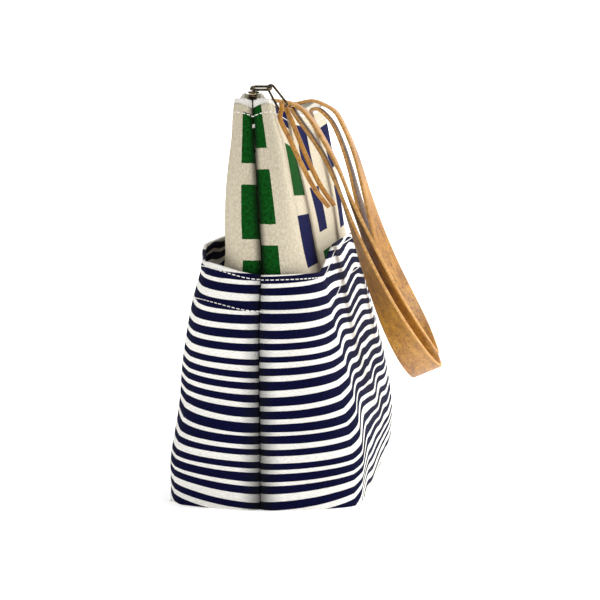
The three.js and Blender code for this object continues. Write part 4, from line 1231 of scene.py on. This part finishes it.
back_near = leg(NEAR, (31.5, 0, 12.5), (43, 0, 31), (53, 0, 50), (62, 2, 73),
                (74.5, 9, 104), (86, 19, 134), (97.5, 38, 164.5), (106.5, 63, 187))
back_foot = hang(115, -5, 206.5)
back_far = leg(FAR, (105.5, -56, 189), (92.5, -29, 163.5), (80, -14, 135), (69, -6, 104),
               (60, -2, 75), (51.5, 0, 46), (42.5, 0, 23.5), (33.5, 0, 7.5))
front_near = leg(NEAR, (25, 0, 16), (34, 0, 28.5), (43, 0, 43), (51.5, 1, 62),
                 (65, 5, 98.5), (80, 14, 138), (93, 28, 169), (108, 60, 201))
front_foot = hang(117, -5, 217)
front_far = leg(FAR, (107.5, -45, 202.5), (92, -21, 176.5), (78, -9, 147), (65, -3, 116),
                (54, -1, 84), (46, 0, 54.5), (38, 0, 31), (31, 0, 16.5))

# %% Handles
LOOP_TILT = math.radians(23)
LOOP_OUT = np.array([math.cos(LOOP_TILT), 0, math.sin(LOOP_TILT)])
LATE_TURN = 2.3  # the greater, the nearer to its foot the strap turns on edge
# across the strap, and how proud its faces are there
CROWN = ((0.5, 0.0), (2, 0.08), (STRAP_WIDTH / 4, 0.14), (STRAP_WIDTH / 2, 0.16))


def strap_section(t):
    """A thin rounded bar of half thickness t. Its short sides are cut edges."""
    w = STRAP_WIDTH / 2
    crown = [(a - w, c) for a, c in CROWN] + [(w - a, c) for a, c in CROWN[-2::-1]]
    lower = [(a, -t - c * 0.5) for a, c in crown]
    upper = [(a, t + c) for a, c in crown[::-1]]
    return np.array([(-w, -t + 0.35)] + lower + [(w, -t + 0.35), (w, t - 0.35)] + upper + [(-w, t - 0.35)])


def strap(name, near_end, near_leg, foot, far_leg, far_end):
    dense = catmull_rom(near_end + near_leg + [foot] + far_leg + far_end[::-1], 60)
    walked = walked_along(dense)
    length = walked[-1]
    start, middle, end = (
        walked[np.argmin(np.linalg.norm(dense - np.array(spot), axis=1))] / length
        for spot in (near_leg[0], foot, far_leg[-1]))
    s = np.linspace(0, 1, 420)
    at = at_lengths(dense, walked, s * length)
    tangent = unit(np.gradient(at, axis=0))
    near = s < middle
    share = np.where(near, (s - start) / (middle - start), (end - s) / (end - middle))
    turn = math.pi / 2 * np.sin(math.pi / 2 * np.clip(share, 0, 1) ** LATE_TURN)[:, None]
    away = unit(np.cross(tangent, np.where(near[:, None], (0, 1.0, 0), (0, -1.0, 0))))
    v = square_to(away * np.cos(turn) + unit(np.cross(LOOP_OUT, tangent)) * np.sin(turn), tangent)
    inside = np.minimum(s, 1 - s) * length
    thick = STRAP_TUCKED + (STRAP - STRAP_TUCKED) * ease((inside - TUCK_DEPTH - 2) / STRAP_EASE)
    sections = np.stack([strap_section(t / 2) for t in thick])
    sides = sections.shape[1]
    print(name, "is", round(length), "mm long")
    return carry_section(
        name, at, np.cross(tangent, v), v, sections, [cork_face, cork_edge],
        uv=pairs(sections[0, :, 0] * MM, (s * length * MM)[:, None]),
        marks=[int(k in (0, 7, 8, 9, sides - 2, sides - 1)) for k in range(sides)])


front_strap = strap(
    "cork_handle_front", front_end(NEAR, 0), front_near, front_foot, front_far, front_end(FAR, 4))
back_strap = strap(
    "cork_handle_back", back_end(NEAR, 0), back_near, back_foot, back_far, back_end(FAR, 4))
for obj, body, nodes, start, end in (
    (front_strap, "front_loop", "handle_front", (0.004, 0, 0.28), (0.012, 0, 0.28)),
    (back_strap, "back_loop", "handle_back", (-0.016, 0, 0.29), (0.022, 0, 0.29)),
):
    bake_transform(obj)
    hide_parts(nodes, nodes + "_end_near", nodes + "_end_far")

# %% [markdown]
# Stitches. Sewing shows as rows of short rounded dashes, about 3 mm long, that sit half sunk in the
# cloth. One row runs round under the mouth, one along each pocket's edge, and one at the foot of its hem.

# %% Stitch rows
STITCH, STITCH_STEP, THREAD, RAISED = 2.7, 3.7, 0.42, 0.45
UNDER_MOUTH, UNDER_EDGE, HEM_FOOT = 6.5, 2.5, 26


def row_on_cloth(side, z, bend, proud=0.0, lower=None, place=skin):
    u = np.linspace(0.006, 0.994, 500)
    z = np.full_like(u, z)
    points = place(side, u, z, bend(side, u, z) + proud + THREAD * RAISED)
    if lower is not None:
        points[:, 2] -= lower(u, z)
    return points


for place_name, side in SIDES:
    top_row = row_on_cloth(side, HEIGHT - UNDER_MOUTH, folds, lower=seam_notch)
    edge_row = row_on_cloth(side, POCKET - UNDER_EDGE, pocket_folds, CANVAS + HEM_PROUD, place=pocket_skin)
    foot_row = row_on_cloth(side, POCKET - HEM_FOOT, pocket_folds, CANVAS, place=pocket_skin)
    for name, paths in (("top_stitches_", [top_row]), ("hem_stitches_", [edge_row, foot_row])):
        dress(rods(name + place_name, paths, STITCH_STEP, STITCH, THREAD, thread_white), "bag", "thread")

# %% [markdown]
# A bartack is a short bar of dense thread that stops a seam from opening. Here it is a pile of short
# stitches set across the end seam.

# %% Bartacks
TACK_DEPTH, TACK_TALL, TACK_STITCH, TACK_THREAD = 18.0, 2.2, 1.3, 0.17
TACK_STEP = 5.0  # longer than a bar, so that stitches stand at its two ends only
for place_name, u, way in (("near", 0.0, -1), ("far", 1.0, 1)):
    x, y, z = skin(1, u, HEIGHT - TACK_DEPTH)
    bars = [np.array([(x - 0.7, y + way * 0.5, z + rise), (x + 0.3, y + way * 0.5, z + rise + 0.2)])
            for rise in np.linspace(-TACK_TALL / 2, TACK_TALL / 2, 6)]
    tack = rods(f"bartack_{place_name}", bars, TACK_STEP, TACK_STITCH, TACK_THREAD, thread_white)
    dress(tack, "bag", "thread", f"seam_bartack_{place_name}")
